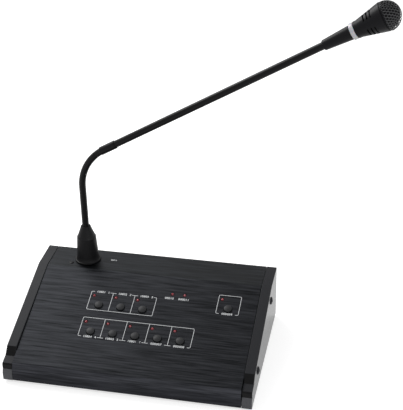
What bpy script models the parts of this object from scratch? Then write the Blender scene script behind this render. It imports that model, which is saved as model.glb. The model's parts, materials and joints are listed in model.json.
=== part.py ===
# A desk paging microphone: a low sloped console with call buttons, and a
# gooseneck that carries a small flared microphone head.
# Metres, +Z up. The front of the console faces -Y, and the origin is the
# centre of the console's underside.

import math

import bmesh
import bpy
from mathutils import Matrix, Vector

# Fits that every piece shares
GAP = 0.0003
OVERRUN = 0.006
WELD = 0.00001

# Console outline, heights above the underside
CASE_WIDTH = 0.220
CASE_DEPTH = 0.141
PANEL_TOP = 0.0512
STRIP_DEPTH = 0.0325
CREASE_HEIGHT = 0.018
CREASE_SETBACK = 0.002
FRONT_HEIGHT = 0.0112
SHEET = 0.002

# End cheeks with their stepped nose, setbacks measured from the front face
CHEEK_THICKNESS = 0.009
CHEEK_TOP = 0.0514
CHEEK_NOSE_TOP = 0.0246
NOSE_SETBACK = 0.0165
STEP_FOOT_SETBACK = 0.0106
STEP_FOOT_HEIGHT = 0.0184
BROW_SETBACK = 0.0028
BROW_HEIGHT = 0.0164
LIP_SETBACK = 0.0016
LIP_TOP = 0.0108
LIP_FOOT = 0.0070
CHEEK_WALL = 0.003
CHEEK_EDGE = 0.0003

# Screws through the cheeks into blocks under the sheet
SCREW_DROP = 0.0110
FRONT_SCREW_SETBACK = 0.0305
REAR_SCREW_BEFORE_KINK = 0.0042
SCREW_HEAD_RADIUS = 0.0036
SCREW_HEAD_HEIGHT = 0.0016
SCREW_SHANK_RADIUS = 0.00175
SCREW_GRIP = 0.010
SCREW_SOCKET_RADIUS = 0.0013
SCREW_SOCKET_DEPTH = 0.0009
BLOCK_SIDE = 0.009
BLOCK_LENGTH = 0.014
BOSS_RADIUS = 0.0045

# Bottom plate, rear panel and feet
BOTTOM_SHEET = 0.0015
REAR_SHEET = 0.002
FOOT_RADIUS = 0.006
FOOT_HEIGHT = 0.0025
FOOT_EDGE = 0.0008
FOOT_PEG_RADIUS = 0.0025
FOOT_BULB_RADIUS = 0.0034
FOOT_BULB_HEIGHT = 0.0016
FOOT_INSET_X = 0.022
FOOT_INSET_Y = 0.020
REST_HALF_WIDTH = 0.070
REST_FRONT = 0.040
REST_BACK = 0.030
REST_DROP = 0.0004

# Button cells printed on the slope, distances up the slope from the crease
CELL_PITCH = 0.0202
CELL_HEIGHT = 0.0205
LOWER_ROW = 0.0360
ROW_PITCH = 0.0294
CELLS_INSET = 0.04985
ALARM_INSET = 0.0158
ALARM_BELOW_KINK = 0.0150
BUTTON_RISE = 0.0057
LAMP_INSET = 0.0034
LAMP_DROP = 0.0046
STATUS_BEFORE_ALARM = 0.0423
STATUS_PITCH = 0.0112
LOWER_COUNT = 5
UPPER_COUNT = 3

# Buttons
CAP_RADIUS = 0.0037
CAP_DOME = 0.0010
CAP_PROUD = 0.0012
CAP_FLANGE = 0.0011
CAP_FLANGE_HEIGHT = 0.0009
PLUNGER_RADIUS = 0.0017
BUTTON_TRAVEL = 0.0006

# Lamps
LAMP_RADIUS = 0.0015
LAMP_PROUD = 0.0007
LAMP_LENGTH = 0.0050
LAMP_FLANGE = 0.0004
LAMP_FLANGE_HEIGHT = 0.0008
LAMP_LEG = 0.0005
LAMP_LEG_PITCH = 0.00254

# Circuit board under the slope and what is soldered to it
BOARD_DEPTH = 0.0095
BOARD_THICKNESS = 0.0016
BOARD_LEFT_INSET = 0.041
BOARD_RIGHT_INSET = 0.009
BOARD_FRONT = 0.0365
BOARD_BELOW_KINK = 0.0142
SWITCH_SIDE = 0.006
SWITCH_HEIGHT = 0.0035
SWITCH_WELL_DEPTH = 0.0016
CHIP_SIDE = 0.012
CHIP_HEIGHT = 0.0015
HEADER_LENGTH = 0.022
HEADER_WIDTH = 0.007
HEADER_HEIGHT = 0.0055
HEADER_LEFT = 0.030
HEADER_UP = 0.018
STUD_RADIUS = 0.0025
STUD_TIP_RADIUS = 0.0014
STUD_TIP_LENGTH = 0.0012
STUD_INSET = 0.0035

# Sockets in the rear panel
LINK_X = -0.020
LINK_WIDTH = 0.016
LINK_HEIGHT = 0.0135
LINK_DEPTH = 0.016
LINK_MOUTH_WIDTH = 0.0118
LINK_MOUTH_HEIGHT = 0.0082
LINK_MOUTH_DEPTH = 0.0125
JACK_X = 0.020
JACK_RADIUS = 0.004
JACK_FLANGE_RADIUS = 0.0055
JACK_FLANGE_HEIGHT = 0.0012
JACK_DEPTH = 0.013
JACK_BORE_RADIUS = 0.003
JACK_BORE_DEPTH = 0.010
JACK_PIN_RADIUS = 0.001
SOCKET_HEIGHT = 0.020

# Foot of the neck
NECK_INSET = 0.0345
NECK_RADIUS = 0.003
NECK_BORE_RADIUS = 0.0016
THREAD_RADIUS = 0.005
THREAD_BELOW = 0.008
STEM_FLANGE_RADIUS = 0.0072
STEM_FLANGE_HEIGHT = 0.003
THREAD_ABOVE = 0.014
NUT_RADIUS = 0.0085
NUT_HEIGHT = 0.004
BOOT_HEIGHT = 0.0365
BOOT_SHOULDER = 0.0257
BOOT_FLANGE_RADIUS = 0.012
BOOT_FLANGE_HEIGHT = 0.0014
BOOT_BASE_RADIUS = 0.0102
BOOT_BASE_HEIGHT = 0.0042
BOOT_SHOULDER_RADIUS = 0.0088
BOOT_STEP = 0.0004
BOOT_TIP_RADIUS = 0.0048
BOOT_TIP_EDGE = 0.0008

# Bendable neck, from the top of the boot
NECK_RISER = 0.0412
BEND_RADIUS = 0.045
TUBE_RISE = math.radians(30.16)
FIRST_JOINT = 0.007
JOINT_PITCH = 0.018
JOINT_COUNT = 5
RING_PITCH = 0.0045
BALL_RINGS = 3

# Ferrule, stiff tube and head, measured along the tube
FERRULE_OVERLAP = 0.003
FERRULE_LENGTH = 0.0158
FERRULE_RADIUS = 0.0036
FERRULE_EDGE = 0.0002
FERRULE_CLEARANCE = 0.0002
TUBE_LENGTH = 0.2063
TUBE_IN_HEAD = 0.012
TAIL_LENGTH = 0.0252
TAIL_START_RADIUS = 0.0040
TAIL_END_RADIUS = 0.0061
TAIL_EDGE = 0.0008
SPIGOT_RADIUS = 0.0048
SPIGOT_BORE_RADIUS = 0.0020
RING_RADIUS = 0.0071
RING_LENGTH = 0.0036
RING_EDGE = 0.0004
BODY_START_RADIUS = 0.0072
BODY_END_RADIUS = 0.0123
BODY_LENGTH = 0.0250
BODY_STRAIGHT = 0.0025
BODY_RIM = 0.0009
BODY_WALL = 0.0014
BODY_FLOOR = 0.0018
SLOT_WIDTH = 0.0013
SLOT_PITCH = 0.0032
FIRST_SLOT = 0.0093
SLOT_ROWS = 3
SLOT_GROUPS = 3
SLOT_ARC = math.radians(76)
SLOT_PHASE = math.radians(73)
LEDGE_DEPTH = 0.0075
LEDGE_HEIGHT = 0.0030
CAPSULE_RADIUS = 0.0050
CAPSULE_HEIGHT = 0.0060
CAPSULE_LIP = 0.0008
GRILLE_RADIUS = 0.0121
GRILLE_SHEET = 0.0008
GRILLE_SKIRT = 0.0025
DOME_RINGS = 6
CAP_RINGS = 4

# Facets of the round pieces
COARSE = 10
MEDIUM = 16
FINE = 28
HEX = 6
NECK_SIDES = 16
BALL_STACKS = 8
SMOOTH_ANGLE = math.radians(35)
EDGE_ANGLE = math.radians(40)

# Finishes: base colour, roughness, metallic
BRUSHED_BLACK = ((0.022, 0.023, 0.026), 0.42, 0.9)
SATIN_BLACK = ((0.030, 0.030, 0.034), 0.45, 0.0)
STEEL_BLACK = ((0.018, 0.018, 0.020), 0.50, 0.6)
RUBBER_BLACK = ((0.012, 0.012, 0.013), 0.75, 0.0)
GLOSS_BLACK = ((0.014, 0.014, 0.015), 0.25, 0.0)
LAMP_RED = ((0.55, 0.01, 0.02), 0.20, 0.0)
BOARD_GREEN = ((0.02, 0.16, 0.07), 0.50, 0.0)
MILKY_ACRYLIC = ((0.62, 0.62, 0.64), 0.30, 0.0)
ZINC = ((0.55, 0.55, 0.56), 0.35, 1.0)
FOAM_GREY = ((0.03, 0.03, 0.03), 0.95, 0.0)

# Places worked out from the sizes above
FRONT_Y = -CASE_DEPTH / 2
BACK_Y = CASE_DEPTH / 2
KINK_Y = BACK_Y - STRIP_DEPTH
CREASE_Y = FRONT_Y + CREASE_SETBACK
SLOPE_RUN = KINK_Y - CREASE_Y
SLOPE_RISE = PANEL_TOP - CREASE_HEIGHT
SLOPE_LENGTH = math.hypot(SLOPE_RUN, SLOPE_RISE)
SLOPE = math.atan2(SLOPE_RISE, SLOPE_RUN)
SHEET_HALF = CASE_WIDTH / 2 - CHEEK_THICKNESS - GAP
PANEL_EDGE = CASE_WIDTH / 2 - CHEEK_THICKNESS
UPPER_ROW = LOWER_ROW + ROW_PITCH
ALARM_ROW = SLOPE_LENGTH - ALARM_BELOW_KINK - CELL_HEIGHT
CELLS_LEFT = -PANEL_EDGE + CELLS_INSET
ALARM_LEFT = PANEL_EDGE - ALARM_INSET - CELL_PITCH
SWITCH_BASE = BOARD_DEPTH - GAP
WELL_FLOOR = SWITCH_BASE - SWITCH_HEIGHT + SWITCH_WELL_DEPTH
PLUNGER_END = WELL_FLOOR - GAP - BUTTON_TRAVEL
NECK_X = -PANEL_EDGE + NECK_INSET
NECK_Y = BACK_Y - STRIP_DEPTH / 2
BOOT_TOP = PANEL_TOP + BOOT_HEIGHT
BEND_ANGLE = math.pi / 2 - TUBE_RISE
BEND_LENGTH = BEND_RADIUS * BEND_ANGLE
FERRULE_START = NECK_RISER + BEND_LENGTH - FERRULE_OVERLAP
HEAD_START = FERRULE_START + FERRULE_LENGTH + TUBE_LENGTH
RING_START = TAIL_LENGTH + GAP
BODY_START = RING_START + RING_LENGTH + GAP
BODY_END = BODY_START + BODY_LENGTH
GRILLE_START = BODY_END + GAP


def clear_scene():
    for old in list(bpy.data.objects):
        bpy.data.objects.remove(old)
    for old in list(bpy.data.collections):
        bpy.data.collections.remove(old)


def new_collection(name):
    collection = bpy.data.collections.new(name)
    bpy.context.scene.collection.children.link(collection)
    return collection


def finish(name, look):
    material = bpy.data.materials.new(name)
    material.use_nodes = True
    shader = material.node_tree.nodes["Principled BSDF"]
    colour, roughness, metallic = look
    shader.inputs["Base Color"].default_value = (*colour, 1.0)
    shader.inputs["Roughness"].default_value = roughness
    shader.inputs["Metallic"].default_value = metallic
    return material


def show(name, mesh, material, place=Matrix()):
    piece = bpy.data.objects.new(name, mesh)
    piece.matrix_world = place
    piece.data.materials.clear()
    piece.data.materials.append(material)
    PARTS.objects.link(piece)
    return piece


def guide(name, mesh, place=Matrix()):
    cutter = bpy.data.objects.new(name, mesh)
    cutter.matrix_world = place
    cutter.hide_render = True
    cutter.display_type = "WIRE"
    CUTTERS.objects.link(cutter)
    return cutter


def boolean(piece, other, operation):
    step = piece.modifiers.new(operation.lower() + "_" + other.name, "BOOLEAN")
    step.operation = operation
    step.solver = "EXACT"
    step.object = other
    return step


def mesh_of(name, build):
    """A mesh filled in by a function that works on an empty bmesh."""
    work = bmesh.new()
    build(work)
    mesh = bpy.data.meshes.new(name)
    work.to_mesh(mesh)
    work.free()
    return mesh


def add_box(work, size, centre, turn=Matrix()):
    place = turn @ Matrix.Translation(centre) @ Matrix.Diagonal((*size, 1.0))
    bmesh.ops.create_cube(work, size=1.0, matrix=place)


def add_rod(work, radius, length, place, sides):
    """A rod that stands on the place's own origin and runs up its Z."""
    lift = Matrix.Translation((0, 0, length / 2))
    bmesh.ops.create_cone(
        work, cap_ends=True, segments=sides, radius1=radius, radius2=radius,
        depth=length, matrix=place @ lift)


def turned_mesh(name, profile, steps, closed=False):
    """A turned solid from (radius, height) points, given down the outer side."""
    work = bmesh.new()
    corners = [work.verts.new((radius, 0, height)) for radius, height in profile]
    ends = corners[1:] + corners[:1] if closed else corners[1:]
    for start, end in zip(corners, ends):
        work.edges.new((start, end))
    line = bpy.data.meshes.new(name + "_line")
    work.to_mesh(line)
    work.free()
    lathe = guide(name + "_lathe", line)
    screw = lathe.modifiers.new("turn", "SCREW")
    screw.axis = "Z"
    screw.angle = math.tau
    screw.steps = steps
    screw.render_steps = steps
    screw.use_merge_vertices = True
    screw.merge_threshold = WELD
    screw.use_smooth_shade = True
    mesh = settled_mesh(lathe, name)
    mesh.set_sharp_from_angle(angle=SMOOTH_ANGLE)
    return mesh


def settled_mesh(source, name):
    """The evaluated mesh of an object, which is then removed."""
    bpy.context.view_layer.update()
    evaluated = source.evaluated_get(bpy.context.evaluated_depsgraph_get())
    mesh = bpy.data.meshes.new_from_object(evaluated)
    mesh.name = name
    bpy.data.objects.remove(source)
    work = bmesh.new()
    work.from_mesh(mesh)
    bmesh.ops.remove_doubles(work, verts=work.verts, dist=WELD)
    work.to_mesh(mesh)
    work.free()
    return mesh


def dome_points(radius, height, base, rings):
    """Profile of a dome from its tip down to its rim."""
    turns = [math.pi / 2 * i / rings for i in range(rings + 1)]
    return [(radius * math.sin(turn), base + height * math.cos(turn)) for turn in turns]


def outline_mesh(name, points, thickness):
    """A flat outline given as (depth, height) points, as thick as asked across X."""
    curve = bpy.data.curves.new(name, "CURVE")
    curve.dimensions = "2D"
    curve.fill_mode = "BOTH"
    curve.extrude = thickness / 2
    spline = curve.splines.new("POLY")
    spline.points.add(len(points) - 1)
    for point, (depth, height) in zip(spline.points, points):
        point.co = (depth, height, 0, 1)
    spline.use_cyclic_u = True
    return settled_mesh(guide(name + "_outline", curve), name)


def across(x):
    """Turns an outline's depth and height into Y and Z, and moves it to x."""
    axes = Matrix(((0, 0, 1, 0), (1, 0, 0, 0), (0, 1, 0, 0), (0, 0, 0, 1)))
    return Matrix.Translation((x, 0, 0)) @ axes


def on_slope(x, up_slope):
    """Place on the slope's outer face, with Z square to the face."""
    along = Vector((0, math.cos(SLOPE), math.sin(SLOPE)))
    start = Vector((x, CREASE_Y, CREASE_HEIGHT))
    return Matrix.Translation(start + up_slope * along) @ Matrix.Rotation(SLOPE, 4, "X")


def along_x(x, y, z, sense=1):
    """Place whose Z runs along X, or against it where the sense is -1."""
    return Matrix.Translation((x, y, z)) @ Matrix.Rotation(sense * math.pi / 2, 4, "Y")


def slope_share(y, z):
    """Distance up the slope, and depth under it, of a point of the section."""
    run = y - CREASE_Y
    rise = z - CREASE_HEIGHT
    up_slope = run * math.cos(SLOPE) + rise * math.sin(SLOPE)
    depth = run * math.sin(SLOPE) - rise * math.cos(SLOPE)
    return up_slope, depth


def cheek_height(y):
    """Height of a cheek's sloping top edge."""
    nose_y = FRONT_Y + NOSE_SETBACK
    rise = (CHEEK_TOP - CHEEK_NOSE_TOP) / (KINK_Y - nose_y)
    return CHEEK_NOSE_TOP + rise * (y - nose_y)


def screw_spots():
    """The Y and Z of the front and the rear cheek screw."""
    spots = []
    for y in (FRONT_Y + FRONT_SCREW_SETBACK, KINK_Y - REAR_SCREW_BEFORE_KINK):
        spots.append((y, cheek_height(y) - SCREW_DROP))
    return spots


def button_spots():
    """Name, x and distance up the slope of each button cell's corner."""
    upper = [("zone_button_%d" % (i + 1), CELLS_LEFT + i * CELL_PITCH, UPPER_ROW)
             for i in range(UPPER_COUNT)]
    lower_names = ["zone_button_4", "zone_button_5", "zone_button_6",
                   "all_call_button", "talk_button"]
    lower = [(name, CELLS_LEFT + i * CELL_PITCH, LOWER_ROW)
             for i, name in enumerate(lower_names[:LOWER_COUNT])]
    return upper + lower + [("alarm_button", ALARM_LEFT, ALARM_ROW)]


def lamp_spots():
    """Name, x and distance up the slope of each lamp."""
    lamps = []
    for i, (name, left, bottom) in enumerate(button_spots()):
        lamps.append(("led_%d" % (i + 1), left + LAMP_INSET, bottom + CELL_HEIGHT - LAMP_DROP))
    status_x = ALARM_LEFT - STATUS_BEFORE_ALARM
    status_row = ALARM_ROW + CELL_HEIGHT - LAMP_DROP
    lamps.append(("status_led_1", status_x, status_row))
    lamps.append(("status_led_2", status_x + STATUS_PITCH, status_row))
    return lamps


def stud_spots():
    """Places of the board studs, three along each long edge of the board."""
    left = -PANEL_EDGE + BOARD_LEFT_INSET + STUD_INSET
    right = PANEL_EDGE - BOARD_RIGHT_INSET - STUD_INSET
    middle = CELLS_LEFT + UPPER_COUNT * CELL_PITCH
    front = BOARD_FRONT + STUD_INSET
    back = SLOPE_LENGTH - BOARD_BELOW_KINK - STUD_INSET
    return [(x, row) for x in (left, middle, right) for row in (front, back)]


def neck_place(length):
    """Place on the neck's centre line, at a length from the top of the boot.
    Its Z runs up the neck and its Y stays the world's."""
    if length <= NECK_RISER:
        point = Vector((NECK_X, NECK_Y, BOOT_TOP + length))
        lean = 0.0
    else:
        lean = min((length - NECK_RISER) / BEND_RADIUS, BEND_ANGLE)
        point = Vector((NECK_X + BEND_RADIUS * (1 - math.cos(lean)), NECK_Y,
                        BOOT_TOP + NECK_RISER + BEND_RADIUS * math.sin(lean)))
        beyond = max(length - NECK_RISER - BEND_LENGTH, 0)
        point += beyond * Vector((math.sin(lean), 0, math.cos(lean)))
    return Matrix.Translation(point) @ Matrix.Rotation(lean, 4, "Y")


def joint_length(number):
    """Length up the neck of a joint, counted from 0."""
    return FIRST_JOINT + number * JOINT_PITCH


def make_top_panel(material):
    """Bent sheet with a strip, a slope, a chamfer and a front face."""
    section = [(BACK_Y, PANEL_TOP), (KINK_Y, PANEL_TOP), (CREASE_Y, CREASE_HEIGHT),
               (FRONT_Y, FRONT_HEIGHT), (FRONT_Y, 0)]

    def strip(work):
        left = [work.verts.new((-SHEET_HALF, y, z)) for y, z in section]
        edges = [work.edges.new(pair) for pair in zip(left, left[1:])]
        side = bmesh.ops.extrude_edge_only(work, edges=edges)
        moved = [item for item in side["geom"] if isinstance(item, bmesh.types.BMVert)]
        bmesh.ops.translate(work, verts=moved, vec=(2 * SHEET_HALF, 0, 0))
        bmesh.ops.recalc_face_normals(work, faces=work.faces)
        if sum(face.normal.z for face in work.faces) < 0:
            bmesh.ops.reverse_faces(work, faces=work.faces)

    panel = show("top_panel", mesh_of("top_panel", strip), material)
    shell = panel.modifiers.new("sheet", "SOLIDIFY")
    shell.thickness = SHEET
    shell.offset = -1
    shell.use_even_offset = True
    boolean(panel, guide("panel_studs", mesh_of("panel_studs", add_studs)), "UNION")
    boolean(panel, guide("panel_blocks", mesh_of("panel_blocks", add_blocks)), "UNION")
    boolean(panel, guide("panel_holes", mesh_of("panel_holes", add_panel_holes)), "DIFFERENCE")
    return panel


def add_studs(work):
    """Studs down from the sheet, each with a thin tip through the board."""
    seat = BOARD_DEPTH - GAP
    tip = BOARD_DEPTH + BOARD_THICKNESS + STUD_TIP_LENGTH
    profile = [(0, tip), (STUD_TIP_RADIUS, tip), (STUD_TIP_RADIUS, seat),
               (STUD_RADIUS, seat), (STUD_RADIUS, SHEET / 2), (0, SHEET / 2)]
    for x, row in stud_spots():
        stud = turned_mesh("stud", profile, COARSE)
        stud.transform(on_slope(x, row) @ Matrix.Rotation(math.pi, 4, "X"))
        work.from_mesh(stud)


def add_blocks(work):
    """Tapped blocks under the sheet's ends, one for each cheek screw."""
    for y, z in screw_spots():
        row, depth = slope_share(y, z)
        bottom = depth + BLOCK_SIDE / 2
        height = bottom - SHEET / 2
        for side in (-1, 1):
            x = side * (SHEET_HALF - BLOCK_LENGTH / 2)
            add_box(work, (BLOCK_LENGTH, BLOCK_SIDE, height),
                    (0, 0, -(bottom + SHEET / 2) / 2), on_slope(x, row))


def add_panel_holes(work):
    """Holes for the buttons, the lamps, the neck and the cheek screws."""
    drop = Matrix.Translation((0, 0, -SHEET - OVERRUN / 2))
    for _, left, bottom in button_spots():
        place = on_slope(left + CELL_PITCH / 2, bottom + BUTTON_RISE)
        add_rod(work, CAP_RADIUS + GAP, SHEET + OVERRUN, place @ drop, FINE)
    for _, x, row in lamp_spots():
        add_rod(work, LAMP_RADIUS + GAP, SHEET + OVERRUN, on_slope(x, row) @ drop, COARSE)
    stem = Matrix.Translation((NECK_X, NECK_Y, PANEL_TOP - SHEET - OVERRUN / 2))
    add_rod(work, THREAD_RADIUS + GAP, SHEET + OVERRUN, stem, MEDIUM)
    for y, z in screw_spots():
        for side in (-1, 1):
            mouth = along_x(side * (SHEET_HALF + OVERRUN), y, z, -side)
            add_rod(work, SCREW_SHANK_RADIUS + GAP, OVERRUN + SCREW_GRIP + GAP, mouth, COARSE)


def cheek_outline():
    return [(FRONT_Y, 0), (BACK_Y, 0), (BACK_Y, CHEEK_TOP), (KINK_Y, CHEEK_TOP),
            (FRONT_Y + NOSE_SETBACK, CHEEK_NOSE_TOP),
            (FRONT_Y + STEP_FOOT_SETBACK, STEP_FOOT_HEIGHT),
            (FRONT_Y + BROW_SETBACK, BROW_HEIGHT),
            (FRONT_Y + LIP_SETBACK, BROW_HEIGHT - BROW_SETBACK + LIP_SETBACK),
            (FRONT_Y + LIP_SETBACK, LIP_TOP),
            (FRONT_Y, LIP_FOOT)]


def pocket_outline():
    """The hollow of a cheek, a wall's thickness inside its outline."""
    front = FRONT_Y + NOSE_SETBACK + CHEEK_WALL
    back = BACK_Y - CHEEK_WALL
    return [(front, CHEEK_WALL), (back, CHEEK_WALL), (back, CHEEK_TOP - CHEEK_WALL),
            (KINK_Y, CHEEK_TOP - CHEEK_WALL), (front, cheek_height(front) - CHEEK_WALL)]


def make_cheek(name, side, material):
    x = side * (CASE_WIDTH / 2 - CHEEK_THICKNESS / 2)
    cheek = show(name, outline_mesh(name, cheek_outline(), CHEEK_THICKNESS), material, across(x))
    round_over = cheek.modifiers.new("edges", "BEVEL")
    round_over.width = CHEEK_EDGE
    round_over.segments = 1
    round_over.limit_method = "ANGLE"
    round_over.angle_limit = EDGE_ANGLE
    depth = CHEEK_THICKNESS - CHEEK_WALL + OVERRUN
    inner_x = side * (CASE_WIDTH / 2 - CHEEK_WALL - depth / 2)
    pocket = guide(name + "_pocket", outline_mesh(name + "_pocket", pocket_outline(), depth),
                   across(inner_x))

    def bosses(work):
        for y, z in screw_spots():
            add_rod(work, BOSS_RADIUS, 2 * depth, along_x(inner_x - depth, y, z), MEDIUM)

    def holes(work):
        for y, z in screw_spots():
            add_rod(work, SCREW_SHANK_RADIUS + GAP, 2 * CHEEK_THICKNESS,
                    along_x(x - CHEEK_THICKNESS, y, z), COARSE)

    boss_guide = guide(name + "_bosses", mesh_of(name + "_bosses", bosses))
    boolean(pocket, boss_guide, "DIFFERENCE")
    boolean(cheek, pocket, "DIFFERENCE")
    boolean(cheek, guide(name + "_screw_holes", mesh_of(name + "_screw_holes", holes)), "DIFFERENCE")
    return cheek


def make_cheek_screws(material):
    """Round-headed screws, each along X into its block."""
    shank = CHEEK_THICKNESS + GAP + SCREW_GRIP
    dome = dome_points(SCREW_HEAD_RADIUS, SCREW_HEAD_HEIGHT, GAP, CAP_RINGS)
    profile = dome + [(SCREW_SHANK_RADIUS, GAP), (SCREW_SHANK_RADIUS, -shank), (0, -shank)]
    mesh = turned_mesh("cheek_screw", profile, MEDIUM)
    number = 0
    for side in (-1, 1):
        for y, z in screw_spots():
            number += 1
            place = along_x(side * CASE_WIDTH / 2, y, z, side)
            screw = show("cheek_screw_%d" % number, mesh, material, place)

            def socket(work):
                floor = GAP + SCREW_HEAD_HEIGHT - SCREW_SOCKET_DEPTH
                add_rod(work, SCREW_SOCKET_RADIUS, OVERRUN, Matrix.Translation((0, 0, floor)), HEX)

            key = guide("screw_key_%d" % number, mesh_of("screw_key", socket), place)
            boolean(screw, key, "DIFFERENCE")


def foot_spots():
    reach_x = CASE_WIDTH / 2 - FOOT_INSET_X
    reach_y = CASE_DEPTH / 2 - FOOT_INSET_Y
    return [(x, y) for y in (-reach_y, reach_y) for x in (-reach_x, reach_x)]


def make_bottom_plate(material):
    """Plate whose middle is pressed down a little, down to the origin's height."""
    front = FRONT_Y + SHEET + GAP
    back = BACK_Y - REAR_SHEET - GAP
    middle = (REST_DROP + BOTTOM_SHEET) / 2

    def plate(work):
        add_box(work, (2 * SHEET_HALF, back - front, BOTTOM_SHEET - REST_DROP),
                (0, (front + back) / 2, middle))

    def rest(work):
        add_box(work, (2 * REST_HALF_WIDTH, REST_FRONT + REST_BACK, middle),
                (0, (REST_BACK - REST_FRONT) / 2, middle / 2))

    def holes(work):
        for x, y in foot_spots():
            add_rod(work, FOOT_PEG_RADIUS + GAP, 2 * OVERRUN,
                    Matrix.Translation((x, y, -OVERRUN)), COARSE)

    bottom = show("bottom_plate", mesh_of("bottom_plate", plate), material)
    boolean(bottom, guide("bottom_rest", mesh_of("bottom_rest", rest)), "UNION")
    boolean(bottom, guide("foot_holes", mesh_of("foot_holes", holes)), "DIFFERENCE")
    return bottom


def make_feet(material):
    """Rubber feet, each with a peg and a bulb that snap through the plate."""
    seat = REST_DROP - GAP
    bulb = BOTTOM_SHEET + GAP
    top = bulb + FOOT_BULB_HEIGHT
    profile = [(0, top), (FOOT_PEG_RADIUS, top), (FOOT_BULB_RADIUS, bulb),
               (FOOT_PEG_RADIUS, bulb), (FOOT_PEG_RADIUS, seat), (FOOT_RADIUS, seat),
               (FOOT_RADIUS, FOOT_EDGE - FOOT_HEIGHT),
               (FOOT_RADIUS - FOOT_EDGE, -FOOT_HEIGHT), (0, -FOOT_HEIGHT)]
    mesh = turned_mesh("foot", profile, MEDIUM)
    for number, (x, y) in enumerate(foot_spots()):
        show("foot_%d" % (number + 1), mesh, material, Matrix.Translation((x, y, 0)))


def make_rear_panel(material):
    top = PANEL_TOP - SHEET - GAP

    def plate(work):
        add_box(work, (2 * SHEET_HALF, REAR_SHEET, top), (0, BACK_Y - REAR_SHEET / 2, top / 2))

    def holes(work):
        add_box(work, (LINK_WIDTH + 2 * GAP, 2 * OVERRUN, LINK_HEIGHT + 2 * GAP),
                (LINK_X, BACK_Y, SOCKET_HEIGHT))
        outward = Matrix.Rotation(-math.pi / 2, 4, "X")
        start = Matrix.Translation((JACK_X, BACK_Y - OVERRUN, SOCKET_HEIGHT))
        add_rod(work, JACK_RADIUS + GAP, 2 * OVERRUN, start @ outward, MEDIUM)

    rear = show("rear_panel", mesh_of("rear_panel", plate), material)
    boolean(rear, guide("socket_holes", mesh_of("socket_holes", holes)), "DIFFERENCE")
    return rear


def make_link_socket(material):
    def body(work):
        add_box(work, (LINK_WIDTH, LINK_DEPTH, LINK_HEIGHT),
                (LINK_X, BACK_Y - LINK_DEPTH / 2, SOCKET_HEIGHT))

    def mouth(work):
        length = LINK_MOUTH_DEPTH + OVERRUN
        add_box(work, (LINK_MOUTH_WIDTH, length, LINK_MOUTH_HEIGHT),
                (LINK_X, BACK_Y - LINK_MOUTH_DEPTH + length / 2, SOCKET_HEIGHT))

    socket = show("link_socket", mesh_of("link_socket", body), material)
    boolean(socket, guide("link_mouth", mesh_of("link_mouth", mouth)), "DIFFERENCE")


def make_power_jack(material):
    pin_tip = -JACK_FLANGE_HEIGHT
    profile = [(0, pin_tip), (JACK_PIN_RADIUS, pin_tip), (JACK_PIN_RADIUS, -JACK_BORE_DEPTH),
               (JACK_BORE_RADIUS, -JACK_BORE_DEPTH),
               (JACK_BORE_RADIUS, GAP + JACK_FLANGE_HEIGHT),
               (JACK_FLANGE_RADIUS, GAP + JACK_FLANGE_HEIGHT), (JACK_FLANGE_RADIUS, GAP),
               (JACK_RADIUS, GAP), (JACK_RADIUS, -JACK_DEPTH), (0, -JACK_DEPTH)]
    place = (Matrix.Translation((JACK_X, BACK_Y, SOCKET_HEIGHT))
             @ Matrix.Rotation(-math.pi / 2, 4, "X"))
    show("power_jack", turned_mesh("power_jack", profile, MEDIUM), material, place)


def make_circuit_board(material):
    """Board parallel to the slope, with a chip and a header on its underside."""
    left = -PANEL_EDGE + BOARD_LEFT_INSET
    right = PANEL_EDGE - BOARD_RIGHT_INSET
    back = SLOPE_LENGTH - BOARD_BELOW_KINK
    middle = on_slope((left + right) / 2, (BOARD_FRONT + back) / 2)
    under = BOARD_DEPTH + BOARD_THICKNESS

    def board(work):
        add_box(work, (right - left, back - BOARD_FRONT, BOARD_THICKNESS),
                (0, 0, -BOARD_DEPTH - BOARD_THICKNESS / 2), middle)

    def parts(work):
        height = CHIP_HEIGHT + BOARD_THICKNESS / 2
        add_box(work, (CHIP_SIDE, CHIP_SIDE, height),
                (0, 0, height / 2 - under - CHIP_HEIGHT), middle)
        tall = HEADER_HEIGHT + BOARD_THICKNESS / 2
        add_box(work, (HEADER_LENGTH, HEADER_WIDTH, tall),
                (-HEADER_LEFT, HEADER_UP, tall / 2 - under - HEADER_HEIGHT), middle)

    def holes(work):
        for x, row in stud_spots():
            drop = Matrix.Translation((0, 0, -under - OVERRUN))
            add_rod(work, STUD_TIP_RADIUS + GAP, 2 * OVERRUN + BOARD_THICKNESS,
                    on_slope(x, row) @ drop, COARSE)

    plate = show("circuit_board", mesh_of("circuit_board", board), material)
    boolean(plate, guide("board_parts", mesh_of("board_parts", parts)), "UNION")
    boolean(plate, guide("board_holes", mesh_of("board_holes", holes)), "DIFFERENCE")


def make_switches(material):
    """Push switches, each with a well that its button's plunger enters."""
    def body(work):
        add_box(work, (SWITCH_SIDE, SWITCH_SIDE, SWITCH_HEIGHT),
                (0, 0, SWITCH_HEIGHT / 2 - SWITCH_BASE))

    def well(work):
        add_rod(work, PLUNGER_RADIUS + GAP, SWITCH_WELL_DEPTH + OVERRUN,
                Matrix.Translation((0, 0, -WELL_FLOOR)), COARSE)

    for number, (_, left, bottom) in enumerate(button_spots()):
        place = on_slope(left + CELL_PITCH / 2, bottom + BUTTON_RISE)
        switch = show("switch_%d" % (number + 1), mesh_of("switch", body), material, place)
        cutter = guide("switch_well_%d" % (number + 1), mesh_of("switch_well", well), place)
        boolean(switch, cutter, "DIFFERENCE")


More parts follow.
